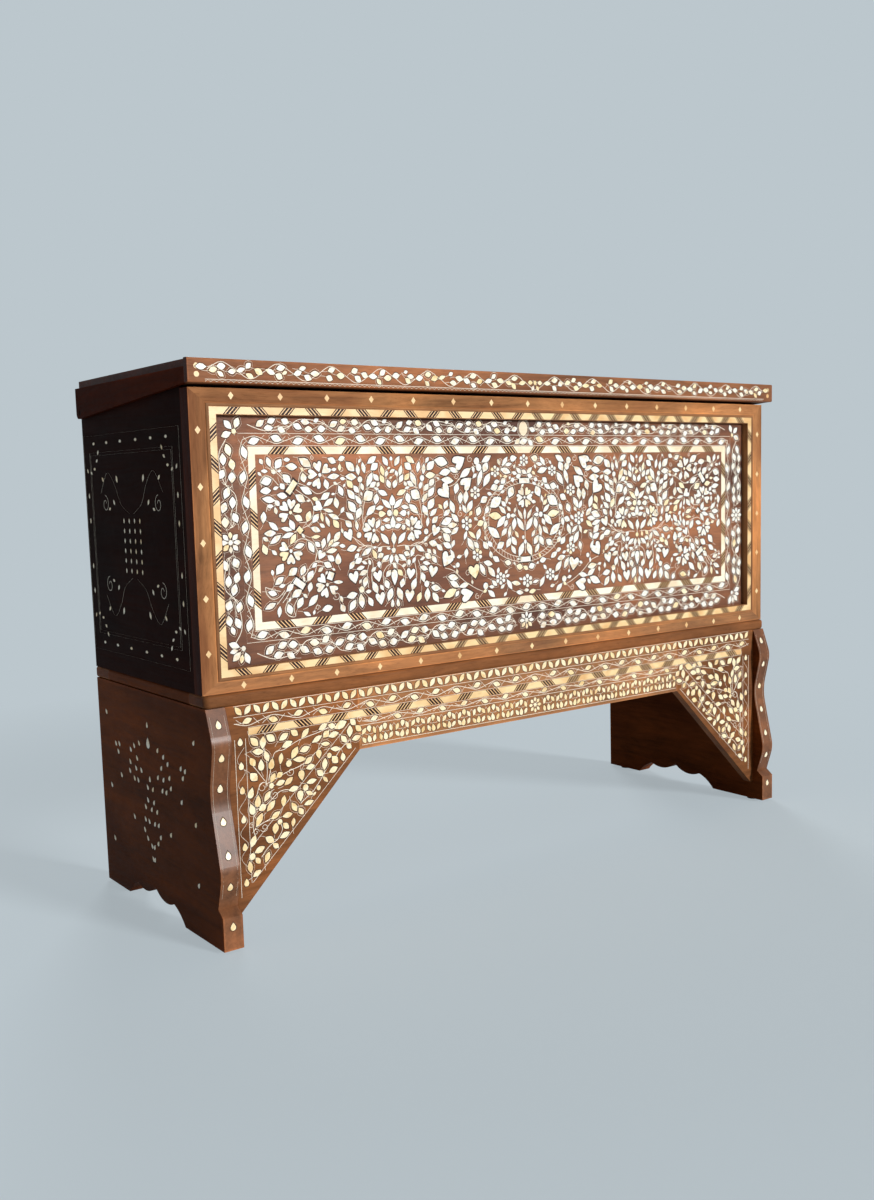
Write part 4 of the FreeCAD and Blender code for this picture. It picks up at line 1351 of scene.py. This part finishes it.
class CHEST_OT_finishes(ChestStep, bpy.types.Operator):
    """Give every CAD node its wood, bone, pearl or horn"""

    bl_idname = "chest.finishes"
    bl_label = "Finish the woods"

    def execute(self, context):
        for group in (walnut_group, wear_group, grime_group, pearl_group):
            group()
        colours = context.scene.chest_colours
        pearl_material()
        wire_material()
        bone_material("fresh_bone", colours.bone, 0.35)
        bone_material("aged_bone", colours.aged_bone, 0.7)
        bone_material("stripe_bone", tone(236, 192, 134), 0.2)
        bone_material("cream_pearl", tone(232, 212, 180), 0.5)
        dark_material("mastic", colours.mastic, 0.45)
        dark_material("horn", colours.horn, 0.35)
        dark_material("glide_felt", tone(48, 40, 36), 0.7)
        for name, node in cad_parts.items():
            node.data.materials.clear()
            node.data.materials.append(self.material(name, colours))
        return {"FINISHED"}

    def material(self, name, colours):
        if "striped" in name:
            return bpy.data.materials["horn"]
        for start, material in SMALL_PIECES:
            if name.startswith(start):
                return bpy.data.materials[material]
        for start, colour, grain, stain, wear in WOODS:
            if name.startswith(start):
                shine = SHINE.get(colour, USUAL_SHINE)
                return walnut(name, getattr(colours, colour), grain, stain, wear * MM, shine,
                              DULL_EDGE if name == "front_panel" else RUBBED_EDGE,
                              colours.leg_front if start == "stand_end" else None,
                              self.end_colour(start, colours))
        raise RuntimeError(f"no finish for {name}")

    def end_colour(self, start, colours):
        """The dark walnut painted on the end faces that show at the chest's sides, as the shade of those
        sides, if a board has them.
        """
        painted_side_shades = {"lid": colours.cleat_wood_painted_shade, "front_stile": colours.cleat_wood_painted_shade, "stand": colours.end_wood}
        return painted_side_shades.get(start)


# Zigzag bands: name, blocks across, blocks up (none on a straight band), width in millimetres
BANDS = [("moulding", 26, 8, 12), ("panel", 16, 4, 13), ("apron", 18, 0, 12)]
BLOCK_SHARE = 0.42  # length of a striped block, as a share of its unit
SLANT_SHARE = 0.9  # how far a block leans, as a share of the band's width
STRIPE_LOW, STRIPE_HIGH = 0.03, 0.97  # where a stripe starts and ends across the band
STRIPE_BRIGHT = 0.3  # share of a stripe that is bone
SMALL_UNIT = 60  # blocks of a shorter unit, in millimetres, have one line fewer
CORNER_SHARE, END_SHARE = 0.8, 0.5  # from a band's end to its first block, in units: framed and straight


class CHEST_OT_band_stripes(ChestStep, bpy.types.Operator):
    """Let the slanting bone lines into the striped blocks of the three zigzag bands"""

    bl_idname = "chest.band_stripes"
    bl_label = "Stripe the bands"

    def execute(self, context):
        for band, across, up, width in BANDS:
            low, high = box_mm(f"{band}_bone_zigzag")
            blocks = box_mm(f"{band}_striped_blocks")
            low, high = Vector(map(min, low, blocks[0])), Vector(map(max, high, blocks[1]))
            lines = Inlay(f"{band}_stripes", "chest", front_face(low.y))
            wide, tall = high.x - low.x, high.z - low.z
            end = CORNER_SHARE if up else END_SHARE
            self.stripe(lines, Course((low.x, high.z), (high.x, high.z)), wide, across, -width, end)
            if up:
                self.stripe(lines, Course((low.x, low.z), (high.x, low.z)), wide, across, width, end)
                self.stripe(lines, Course((low.x, low.z), (low.x, high.z)), tall, up, -width, end)
                self.stripe(lines, Course((high.x, low.z), (high.x, high.z)), tall, up, width, end)
            lines.pearl.make(lines.name, "chest", "bone", ["stripe_bone"])
        return {"FINISHED"}

    def stripe(self, lines, course, length, units, width, end_share):
        """Bone lines along one run, at the slants of its blocks."""
        unit = length / (units - 1 + 2 * end_share)
        half = unit * BLOCK_SHARE / 2
        count = setting("chest_sizes", "stripes") - (1 if unit < SMALL_UNIT else 0)
        edges = (0.5 - STRIPE_BRIGHT / 2, 0.5 + STRIPE_BRIGHT / 2)
        for k in range(units):
            middle = (k + end_share) * unit
            slant = abs(width) * SLANT_SHARE / 2 * (1 if k % 2 else -1)
            for n in range(count):
                near, far = (middle - half + 2 * half * (n + share) / count for share in edges)
                start, finish = STRIPE_LOW * width, STRIPE_HIGH * width
                corners = [course.at(near - slant, start), course.at(far - slant, start),
                           course.at(far + slant, finish), course.at(near + slant, finish)]
                self.slab(lines, corners if width > 0 else corners[::-1])

    def slab(self, lines, corners):
        """One bone line: a thin plate with four corners."""
        points = [lines.place(u, v, h) for h in (BED, STRIPE_PROUD) for u, v in corners]
        faces = [[3, 2, 1, 0], [4, 5, 6, 7]] + [[i, (i + 1) % 4, 4 + (i + 1) % 4, 4 + i] for i in range(4)]
        lines.pearl.add(points, faces, [0] * 6, 0.0)


PANEL_GROW = (1.08, 1.16)  # growth in length and width, as pieces were read at their bright middles
FIELD_MARGIN = 15  # from the outside of the band to where leaves may start, in millimetres
BOUQUET_MIDDLE = 316  # from the centre to the middle of a bouquet
RING_HEIGHT, RING_ACROSS, RING_UP = 691, 98, 78  # the medallion's ring: height of its middle, half axes
RING_SHARES = (0.94, 1.06)  # its two wires
RING_TICKS, TICK_LEAN, TICK_GAP = 72, 0.07, 0.16  # slanting wires between them, none above and below
TICK_INNER, TICK_OUTER = (92.5, 73.5), (103.5, 82.5)
RING_LEAVES, LEAVES_ACROSS, LEAVES_UP, LEAF_LEAN = 30, 119, 95, 62  # leaves round the ring
FILLERS = 420  # tries at small leaves in the gaps of each kind of field


class CHEST_OT_panel_field(ChestStep, bpy.types.Operator):
    """Inlay the five fields of the front panel: vines, bouquets and the medallion"""

    bl_idname = "chest.panel_field"
    bl_label = "Inlay the panel's fields"

    def execute(self, context):
        face = front_face(box_mm("front_panel")[0].y)
        low, high = box_mm("panel_bone_zigzag")
        field = ((low.x + FIELD_MARGIN, low.z + FIELD_MARGIN),
                 (high.x - FIELD_MARGIN, high.z - FIELD_MARGIN))
        vines = Inlay("panel_vines", "chest", face, grow=PANEL_GROW, bounds=field)
        vines.lay(VINE_VIEW, VINE)
        bouquets = Inlay("panel_bouquets", "chest", face, grow=PANEL_GROW, bounds=field)
        for middle in (-BOUQUET_MIDDLE, BOUQUET_MIDDLE):
            bouquets.lay(BOUQUET_VIEW, BOUQUET, middle)
        medallion = Inlay("panel_medallion", "chest", face, grow=PANEL_GROW, bounds=field)
        medallion.lay(MEDALLION_VIEW, MEDALLION)
        for share in RING_SHARES:
            medallion.oval(0, RING_HEIGHT, RING_ACROSS * share, RING_UP * share)
        for k in range(RING_TICKS):
            angle = math.tau * k / RING_TICKS
            if abs(math.cos(angle)) > TICK_GAP:
                ends = (angle, TICK_INNER), (angle + TICK_LEAN, TICK_OUTER)
                medallion.run([self.on_ring(*end) for end in ends], thin=0.7)
        for height in (RING_HEIGHT + RING_UP, RING_HEIGHT - RING_UP):
            medallion.put("bar", 0, height, 0, 24, 8)
        for k in range(RING_LEAVES):
            angle = math.tau * (k + 0.5) / RING_LEAVES
            place = self.on_ring(angle, (LEAVES_ACROSS, LEAVES_UP))
            medallion.leaf(*place, math.degrees(angle) + LEAF_LEAN, 15, 8)
        own = [(inlay, list(inlay.taken)) for inlay in (medallion, bouquets, vines)]
        taken = [spot for _, spots in own for spot in spots]
        for inlay, spots in own:
            inlay.taken = taken
            inlay.thicken(FILLERS, spots, 13, 6.5)
            inlay.make()
        return {"FINISHED"}

    def on_ring(self, angle, axes):
        """A place on an oval about the middle of the medallion's ring."""
        return axes[0] * math.cos(angle), RING_HEIGHT + axes[1] * math.sin(angle)


# The panel's borders, from the outside of the band at the sides, below and above: wire line, vine
LINE_SIDE, LINE_LOW, LINE_HIGH = 17, 20, 22
VINE_SIDE, VINE_LOW, VINE_HIGH = 9, 10.5, 11.5
BAND_GAP = 1.5  # from the band to the wire along it
LOOP_START, LOOP_PITCH, LOOP_COUNT, LOOP_FREE = 67, 70, 8, 28  # loops along the border, from the centre
CORNER_TURNS = {(1, 1): 0, (-1, 1): 90, (-1, -1): 180, (1, -1): 270}  # side, up, and where the fan starts
ALL_ROUND = range(0, 360, 45)
OVAL_LEAVES = [(-23, -2, 20), (23, -2, -20), (-16, -26, 35), (0, -28, 90), (18, -28, -40)]  # across, up, turn


class CHEST_OT_panel_border(ChestStep, bpy.types.Operator):
    """Inlay the two vine borders round the panel's band"""

    bl_idname = "chest.panel_border"
    bl_label = "Inlay the panel's borders"

    def execute(self, context):
        low, high = box_mm("panel_bone_zigzag")
        side, bottom, top = high.x, low.z, high.z
        edge_x = box_mm("moulding_right")[0].x
        edge_low, edge_high = box_mm("moulding_bottom")[1].z, box_mm("moulding_top")[0].z
        bounds = (-edge_x + 1, edge_low + 1), (edge_x - 1, edge_high - 1)
        face = front_face(box_mm("front_panel")[0].y)
        inlay = Inlay("panel_border", "chest", face, cream=0.1, grow=PANEL_GROW, bounds=bounds)
        line_x, line_low, line_high = side + LINE_SIDE, bottom - LINE_LOW, top + LINE_HIGH
        rectangle(inlay, (-side - BAND_GAP, bottom - BAND_GAP), (side + BAND_GAP, top + BAND_GAP))
        rectangle(inlay, (-line_x, line_low), (line_x, line_high))
        vine_x, vine_low, vine_high = side + VINE_SIDE, bottom - VINE_LOW, top + VINE_HIGH
        middles = [(-vine_x, vine_low), (vine_x, vine_low), (vine_x, vine_high), (-vine_x, vine_high)]
        for k, start in enumerate(middles):
            leaf_vine(inlay, start, middles[(k + 1) % 4], 42, 6, 22, 11)
        loops = [LOOP_START - LOOP_FREE + LOOP_PITCH * k for k in range(LOOP_COUNT)]
        for v, sway, size in (((edge_low + line_low) / 2, 12, 1.0), ((edge_high + line_high) / 2, 9, 0.78)):
            for way in (1, -1):
                start, end = (way * LOOP_FREE, v), (way * (line_x - 18), v)
                loop_border(inlay, start, end, loops, sway, size)
        middle = (edge_low + edge_high) / 2
        u = (edge_x + line_x) / 2
        for way in (1, -1):
            for up in (1, -1):
                start, end = (way * u, middle + up * 26), (way * u, middle + up * 170)
                loop_border(inlay, start, end, [34, 104], 13, 1.0)
                corner = edge_high - 26 if up > 0 else edge_low + 30
                turn = CORNER_TURNS[(way, up)]
                reach, length = (15, 19) if up > 0 else (18, 21)
                fan(inlay, way * (line_x + 7), corner, range(turn - 22, turn + 113, 33), reach, length, 10)
            fan(inlay, way * u, middle, ALL_ROUND, 12, 16, 9)
        fan(inlay, 0, edge_low + 22, ALL_ROUND, 12, 16, 8)
        low, high = box_mm("panel_oval_pearl")
        for gap in (2, 4.5):
            inlay.oval(0, (low.z + high.z) / 2, high.x + gap, (high.z - low.z) / 2 + gap, thin=0.6, steps=32)
        for a, b, turn in OVAL_LEAVES:
            inlay.leaf(a, low.z + 15 + b, turn, 16, 9)
        inlay.make()
        return {"FINISHED"}


LID_END = 38  # from the lip's end to the last leaf of the row, in millimetres
LID_PITCH, LID_SIDE_COUNT = 51, 13  # bends of the lid's vine on each side of the centre
ZIGZAG_PITCH, ZIGZAG_RISE = 5, 2.4  # the wire along the lip's lower edge
# Leaves in one bend of the lid's vine: along, down, turn, length, width
LID_LEAVES = [(-17, 1, 6, 19, 10), (-1, 8, 30, 16, 10), (2, -7, -22, 17, 10), (16, 1, -14, 18, 10)]


class CHEST_OT_lid_edge(ChestStep, bpy.types.Operator):
    """Inlay the vine along the lid's front edge"""

    bl_idname = "chest.lid_edge"
    bl_label = "Inlay the lid's edge"

    def execute(self, context):
        low, high = box_mm("lid_front_lip")
        inlay = Inlay("lid_edge", "lid", front_face(low.y), cream=0.55, grow=(1.02, 1.15),
                      bounds=((low.x + 4, low.z + 4), (high.x - 4, high.z - 4)))
        middle = (low.z + high.z) / 2 + 1.5
        end = high.x - LID_END
        inlay.run([(-end - 8, low.z + 5.5), (end + 8, low.z + 5.5)], thin=0.8)
        inlay.run([(-end - 8 + ZIGZAG_PITCH * k, low.z + 2 + ZIGZAG_RISE * (k % 2))
                   for k in range(int((2 * end + 16) / ZIGZAG_PITCH) + 1)], thin=0.5)
        wave = []
        for k in range(-LID_SIDE_COUNT, LID_SIDE_COUNT + 1):
            side = 1 if k % 2 else -1
            u = LID_PITCH * k
            wave += [(u - 25, middle), (u, middle + side * 13)]
            if k == 0:
                fan(inlay, 0, middle, (0, 60, 120, 180, 240, 300), 12, 13, 8)
                continue
            for a, t, turn, length, width in LID_LEAVES:
                jitter = inlay.draw.uniform
                inlay.leaf(u + a + jitter(-4, 4), middle - side * t + jitter(-1.5, 1.5),
                           -side * turn + jitter(-20, 20), length * jitter(0.85, 1.1),
                           width * jitter(0.75, 1.0))
        inlay.stem(wave + [(LID_PITCH * LID_SIDE_COUNT + 25, middle)])
        for way in (1, -1):
            inlay.leaf(way * (end + 14), middle + 4, 180 - 90 * (way + 1), 20, 9)
        inlay.make()
        return {"FINISHED"}


APRON_HALF = 662  # half the length of the apron's upper rows, and its outer upright wires
APRON_LEAVES, APRON_ROW = 76, 20  # leaves of the top row, and its height
LOWER_VINE_HALF, LOWER_WIRE_HALF, FOOT_WIRE_HALF = 410, 425, 412  # half lengths under the band
FOOT_PITCH, FOOT_SIDE_COUNT = 36, 11  # pairs of drops along the lower row, on each side of the centre
BAND_WIRE = 1.2  # from the apron's band to the wires along it
UPRIGHT_WIRES = [(642, 350, 100), (APRON_HALF, 350, 78)]  # by the brackets' outer edge: across, top, bottom
SLOPE_WIRES = [((640, 162), (437, 347)), ((640, 100), (426, 300))]  # along a bracket's slope
BRACKET_MIDDLE = 652  # between the upright wires
BRACKET_DROPS = (346, 305, 263, 213, 165, 103)  # heights


class CHEST_OT_apron(ChestStep, bpy.types.Operator):
    """Inlay the rows of the apron and the vines of its brackets"""

    bl_idname = "chest.apron"
    bl_label = "Inlay the apron"

    def execute(self, context):
        low, high = box_mm("apron_rail")
        inlay = Inlay("apron", "chest", front_face(low.y), cream=0.72, grow=(0.98, 1.06))
        band_low, band_high = (corner.z for corner in box_mm("apron_bone_zigzag"))
        reach = box_mm("apron_bone_zigzag")[1].x
        for k in range(APRON_LEAVES):
            u = -APRON_HALF + 2 * APRON_HALF * (k + 0.5) / APRON_LEAVES
            inlay.put("leaf", u, high.z - APRON_ROW / 2, 52 if k % 2 else -52, 21, 9.5)
        for v in (high.z - APRON_ROW, high.z - 1.5):
            inlay.run([(-APRON_HALF, v), (APRON_HALF, v)], thin=0.7)
        upper = (band_high + high.z - APRON_ROW) / 2
        leaf_vine(inlay, (-APRON_HALF, upper), (APRON_HALF, upper), 49, 6, 21, 10)
        line = low.z + 43
        lower = (band_low + line) / 2
        leaf_vine(inlay, (-LOWER_VINE_HALF, lower), (LOWER_VINE_HALF, lower), 50, 4, 19, 9)
        for half, v, thin in ((LOWER_WIRE_HALF, line, 0.8), (FOOT_WIRE_HALF, low.z + 7, 0.8),
                              (reach, band_low - BAND_WIRE, 0.6), (reach, band_high + BAND_WIRE, 0.6)):
            inlay.run([(-half, v), (half, v)], thin=thin)
        for k in range(-FOOT_SIDE_COUNT, FOOT_SIDE_COUNT + 1):
            u = FOOT_PITCH * k
            if k == 0:
                fan(inlay, 0, low.z + 25, (90, 45, 135, 270, 225, 315, 0, 180), 11, 11, 7)
                continue
            jitter = inlay.draw.uniform
            inlay.put("drop", u + jitter(-2, 2), low.z + 34, 270 + jitter(-14, 14), 14, 9)
            inlay.put("drop", u + jitter(-2, 2), low.z + 17, 90 + jitter(-14, 14), 16, 9)
            inlay.stem([(u - 18, low.z + 38), (u - 8, low.z + 26), (u, low.z + 25), (u + 8, low.z + 26),
                        (u + 18, low.z + 38)], thin=0.6)
            for a, turn in ((-11, 62), (11, -62)):
                inlay.put("leaf", u + a, low.z + 31 + jitter(-1, 1), turn + jitter(-16, 16), 16, 7.5)
                inlay.put("leaf", u + a, low.z + 16 + jitter(-1, 1), -turn + jitter(-16, 16), 15, 7.5)
        inlay.lay(BRACKET_VIEW, BRACKET)
        inlay.lay(BRACKET_VIEW, DIAGONAL)
        for way in (1, -1):
            for u, top, bottom in UPRIGHT_WIRES:
                inlay.run([(way * u, top), (way * u, bottom)], thin=0.8)
            for wire in SLOPE_WIRES:
                inlay.run([(way * u, v) for u, v in wire], thin=0.8)
            for v in BRACKET_DROPS:
                inlay.put("drop", way * BRACKET_MIDDLE, v, 90, 15, 9)
            sway = [7 if k % 2 else -7 for k in range(11)]
            inlay.stem([(way * (BRACKET_MIDDLE + a), 335 - 21 * k) for k, a in enumerate(sway)], thin=0.6)
        inlay.make()
        return {"FINISHED"}


LEG_DROPS = (383, 328, 275, 220, 165, 112, 45)  # heights
LEG_WIRE_HEIGHTS = range(92, 397, 8)
LEG_WIRE_INSET = 5


class CHEST_OT_legs(ChestStep, bpy.types.Operator):
    """Inlay the row of drops up the front of each leg"""

    bl_idname = "chest.legs"
    bl_label = "Inlay the legs"

    def execute(self, context):
        for side in ("left", "right"):
            low, high = box_mm(f"stand_end_{side}")
            inlay = Inlay(f"leg_{side}", "chest", cast_face(f"stand_end_{side}"), cream=0.65)
            middle = (low.x + high.x) / 2
            for v in LEG_DROPS:
                inlay.put("drop", middle, v, 90, 15, 10)
            for u in (low.x + LEG_WIRE_INSET, high.x - LEG_WIRE_INSET):
                inlay.run([(u, v) for v in LEG_WIRE_HEIGHTS], thin=0.35)
            inlay.make()
        return {"FINISHED"}


CASE_HEIGHT, CASE_DEPTH, STAND_DEPTH = 669, 36, 20  # middles of the ends' fields, in millimetres
# Pearl on the case's sides, as offsets from the middle, set in all four quarters: across, up, turn, length
SIDE_PEARL = [(35, 187, 0, 15), (100, 187, 0, 15), (163, 187, 0, 15), (144, 170, -60, 14),
              (152, 155, -30, 14), (165, 140, 0, 14), (182, 133, 30, 14), (200, 137, 60, 14),
              (127, 120, 45, 16), (200, 90, 90, 15), (200, 43, 90, 15), (60, 120, 70, 20),
              (78, 78, 60, 16), (100, 66, -20, 14)]
SIDE_PEARL += [(u, v, 90, 13) for v in (9, 27, 45) for u in (12, 36)]
SIDE_FRAMES = [(214, 202), (186, 170), (181, 165)]  # half sizes of the wire frames
SIDE_STEM = [(10, 58), (48, 76), (72, 110), (105, 132), (140, 95)]
SIDE_COIL = (120, 75)
SIDE_THIN = 0.1  # share of the wire's width left on the sides
# Pearl on the stand's ends, mirrored about its middle: across from the middle, height
END_PEARL = [(0, 348), (0, 315), (42, 308), (66, 300), (83, 290), (55, 278), (88, 266), (62, 258), (38, 258),
             (92, 248), (72, 237), (55, 237), (0, 248), (12, 231), (14, 207), (26, 192), (2, 192), (30, 168),
             (13, 167), (36, 147), (24, 133), (6, 122), (4, 98), (82, 162), (155, 290), (138, 292),
             (145, 276), (135, 232), (188, 203), (195, 346), (188, 97)]
LARGE_DROP = 315  # height of the one large drop


class CHEST_OT_ends(ChestStep, bpy.types.Operator):
    """Inlay the sparse pearl of the case sides and of the stand's ends"""

    bl_idname = "chest.ends"
    bl_label = "Inlay the ends"

    def execute(self, context):
        for name, way in (("left", -1), ("right", 1)):
            low, high = box_mm(f"case_side_{name}")
            depth = low.x if way < 0 else high.x
            case = Inlay(f"case_side_{name}_inlay", "chest", end_face(depth, CASE_DEPTH, way), cream=0.62)
            self.case_side(case)
            case.make()
            low, high = box_mm(f"stand_end_{name}")
            depth = low.x if way < 0 else high.x
            end = Inlay(f"stand_end_{name}_inlay", "chest", end_face(depth, STAND_DEPTH, way), cream=0.62)
            for u, v in END_PEARL:
                for side in (1, -1) if u > 2 else (1,):
                    turn = 90 if u < 2 else 90 - side * 35
                    length, width = (22, 14) if v == LARGE_DROP else (12, 7)
                    end.put("drop", side * u, v, turn, length, width)
            end.make()
        return {"FINISHED"}

    def case_side(self, inlay):
        """The pearl, wire frames, stems and coils of one side, the same in its four quarters."""
        quarters = [(a, b) for a in (1, -1) for b in (1, -1)]
        for u, v, turn, length in SIDE_PEARL:
            for a, b in quarters:
                inlay.put("leaf", a * u, CASE_HEIGHT + b * v, a * b * turn, length * 0.75, length * 0.38)
        for across, up in SIDE_FRAMES:
            rectangle(inlay, (-across, CASE_HEIGHT - up), (across, CASE_HEIGHT + up), thin=SIDE_THIN)
        for a, b in quarters:
            inlay.stem([(a * u, CASE_HEIGHT + b * v) for u, v in SIDE_STEM], thin=SIDE_THIN)
            inlay.coil(a * SIDE_COIL[0], CASE_HEIGHT + b * SIDE_COIL[1], 16, 90, a * b)


# The camera, fitted to the straight edges in the photo
LENS, SENSOR = 35.8155, 36
SHIFT_X, SHIFT_Y = -0.03137, 0.01605
EYE = (-1.5434, -2.0169, 0.7697)
FORWARD, RIGHT = (0.60994, 0.78409, -0.11475), (0.78741, -0.61597, -0.02356)
# Where the lights stand, and how wide they look in degrees
KEY_FROM, KEY_ANGLE = (0.3, -0.9, 0.23), 12
BACK_FROM, BACK_ANGLE = (0.45, 0.8, 0.4), 20
FLOOR_SIZE, FADE_REACH = 60, 4.0  # in metres
FADE = (0.28, 0.7), (0.6, 1.0)  # share of plain backdrop in the floor, by shares of the reach
FLOOR_DIM = 0.62  # how much the lights dim the floor against the backdrop


class CHEST_OT_studio(ChestStep, bpy.types.Operator):
    """Set the floor, the light and the camera"""

    bl_idname = "chest.studio"
    bl_label = "Set the studio"

    def execute(self, context):
        scene = context.scene
        studio = scene.chest_studio
        backdrop = (*studio.backdrop, 1)
        bpy.ops.object.select_all(action="DESELECT")
        bpy.ops.mesh.primitive_plane_add(size=FLOOR_SIZE)
        floor = context.object
        floor.name = "floor"
        floor.data.materials.append(self.floor_material(backdrop))
        self.world(scene, backdrop, studio.sky)
        self.sun("key_light", KEY_FROM, studio.key, KEY_ANGLE)
        self.sun("back_light", BACK_FROM, studio.rim, BACK_ANGLE)
        lens = bpy.data.cameras.new("camera")
        lens.lens, lens.sensor_width = LENS, SENSOR
        lens.shift_x, lens.shift_y = SHIFT_X, SHIFT_Y
        camera = bpy.data.objects.new("camera", lens)
        context.collection.objects.link(camera)
        forward = Vector(FORWARD).normalized()
        right = Vector(RIGHT).normalized()
        turn = Matrix((right, right.cross(forward), -forward)).transposed()
        camera.matrix_world = Matrix.Translation(EYE) @ turn.to_4x4()
        scene.camera = camera
        scene.view_settings.view_transform = "Standard"
        return {"FINISHED"}

    def sun(self, name, place, strength, angle):
        lamp = bpy.data.lights.new(name, "SUN")
        lamp.energy, lamp.angle = strength, math.radians(angle)
        sun = bpy.data.objects.new(name, lamp)
        bpy.context.collection.objects.link(sun)
        sun.rotation_mode = "QUATERNION"
        sun.rotation_quaternion = (-Vector(place)).to_track_quat("-Z", "Y")

    def world(self, scene, backdrop, strength):
        scene.world = bpy.data.worlds.new("studio")
        scene.world.use_nodes = True
        tree = scene.world.node_tree
        tree.nodes.clear()
        seen = add(tree, "ShaderNodeBackground", Color=backdrop, Strength=1.0)
        sky = add(tree, "ShaderNodeBackground", Color=(1, 1, 1, 1), Strength=strength)
        both = add(tree, "ShaderNodeMixShader", Fac=straight_rays(tree))
        tree.links.new(sky.outputs[0], both.inputs[1])
        tree.links.new(seen.outputs[0], both.inputs[2])
        out = tree.nodes.new("ShaderNodeOutputWorld")
        tree.links.new(both.outputs[0], out.inputs["Surface"])

    def floor_material(self, backdrop):
        """Plain floor that keeps the shadow near the object and fades into the backdrop."""
        material = bpy.data.materials.new("floor")
        material.use_nodes = True
        tree = material.node_tree
        tree.nodes.clear()
        place = add(tree, "ShaderNodeTexCoord").outputs["Object"]
        away = math_node(tree, "DIVIDE", vector_length(tree, place), FADE_REACH)
        fade = ramp(tree, away, *FADE)
        lit = add(tree, "ShaderNodeBsdfDiffuse", Color=(*(c / FLOOR_DIM for c in backdrop[:3]), 1))
        plain = add(tree, "ShaderNodeEmission", Color=backdrop)
        both = add(tree, "ShaderNodeMixShader", Fac=math_node(tree, "MULTIPLY", fade, straight_rays(tree)))
        tree.links.new(lit.outputs[0], both.inputs[1])
        tree.links.new(plain.outputs[0], both.inputs[2])
        out = tree.nodes.new("ShaderNodeOutputMaterial")
        tree.links.new(both.outputs[0], out.inputs["Surface"])
        return material


def straight_rays(tree):
    """1 for rays that show the backdrop itself: seen, mirrored or through glass."""
    rays = add(tree, "ShaderNodeLightPath").outputs
    mirrored = math_node(tree, "MAXIMUM", rays["Is Camera Ray"], rays["Is Glossy Ray"])
    return math_node(tree, "MAXIMUM", mirrored, rays["Is Transmission Ray"])


def vector_length(tree, vector):
    made = add(tree, "ShaderNodeVectorMath", {"operation": "LENGTH"})
    tree.links.new(vector, made.inputs[0])
    return made.outputs["Value"]


STEPS = [CHEST_OT_finishes, CHEST_OT_band_stripes, CHEST_OT_panel_field, CHEST_OT_panel_border,
         CHEST_OT_lid_edge, CHEST_OT_apron, CHEST_OT_legs, CHEST_OT_ends, CHEST_OT_studio]
GROUPS = {"chest_sizes": ChestInlaySizes, "chest_colours": ChestColours, "chest_studio": ChestStudio}


class CHEST_PT_sidebar(bpy.types.Panel):
    """The chest's steps and settings"""

    bl_idname = "CHEST_PT_sidebar"
    bl_label = "Inlaid chest"
    bl_space_type = "VIEW_3D"
    bl_region_type = "UI"
    bl_category = "Chest"

    def draw(self, context):
        for step in STEPS:
            self.layout.operator(step.bl_idname)
        for name, group in GROUPS.items():
            box = self.layout.box()
            for label in group.__annotations__:
                box.prop(getattr(context.scene, name), label)


def register():
    for made in (*GROUPS.values(), *STEPS, CHEST_PT_sidebar):
        bpy.utils.register_class(made)
    for name, group in GROUPS.items():
        setattr(bpy.types.Scene, name, bpy.props.PointerProperty(type=group))


def unregister():
    for name in GROUPS:
        delattr(bpy.types.Scene, name)
    for made in (CHEST_PT_sidebar, *reversed(STEPS), *GROUPS.values()):
        bpy.utils.unregister_class(made)


def main():
    register()
    for step in STEPS:
        area, name = step.bl_idname.split(".")
        getattr(getattr(bpy.ops, area), name)()


if __name__ == "__main__":
    main()
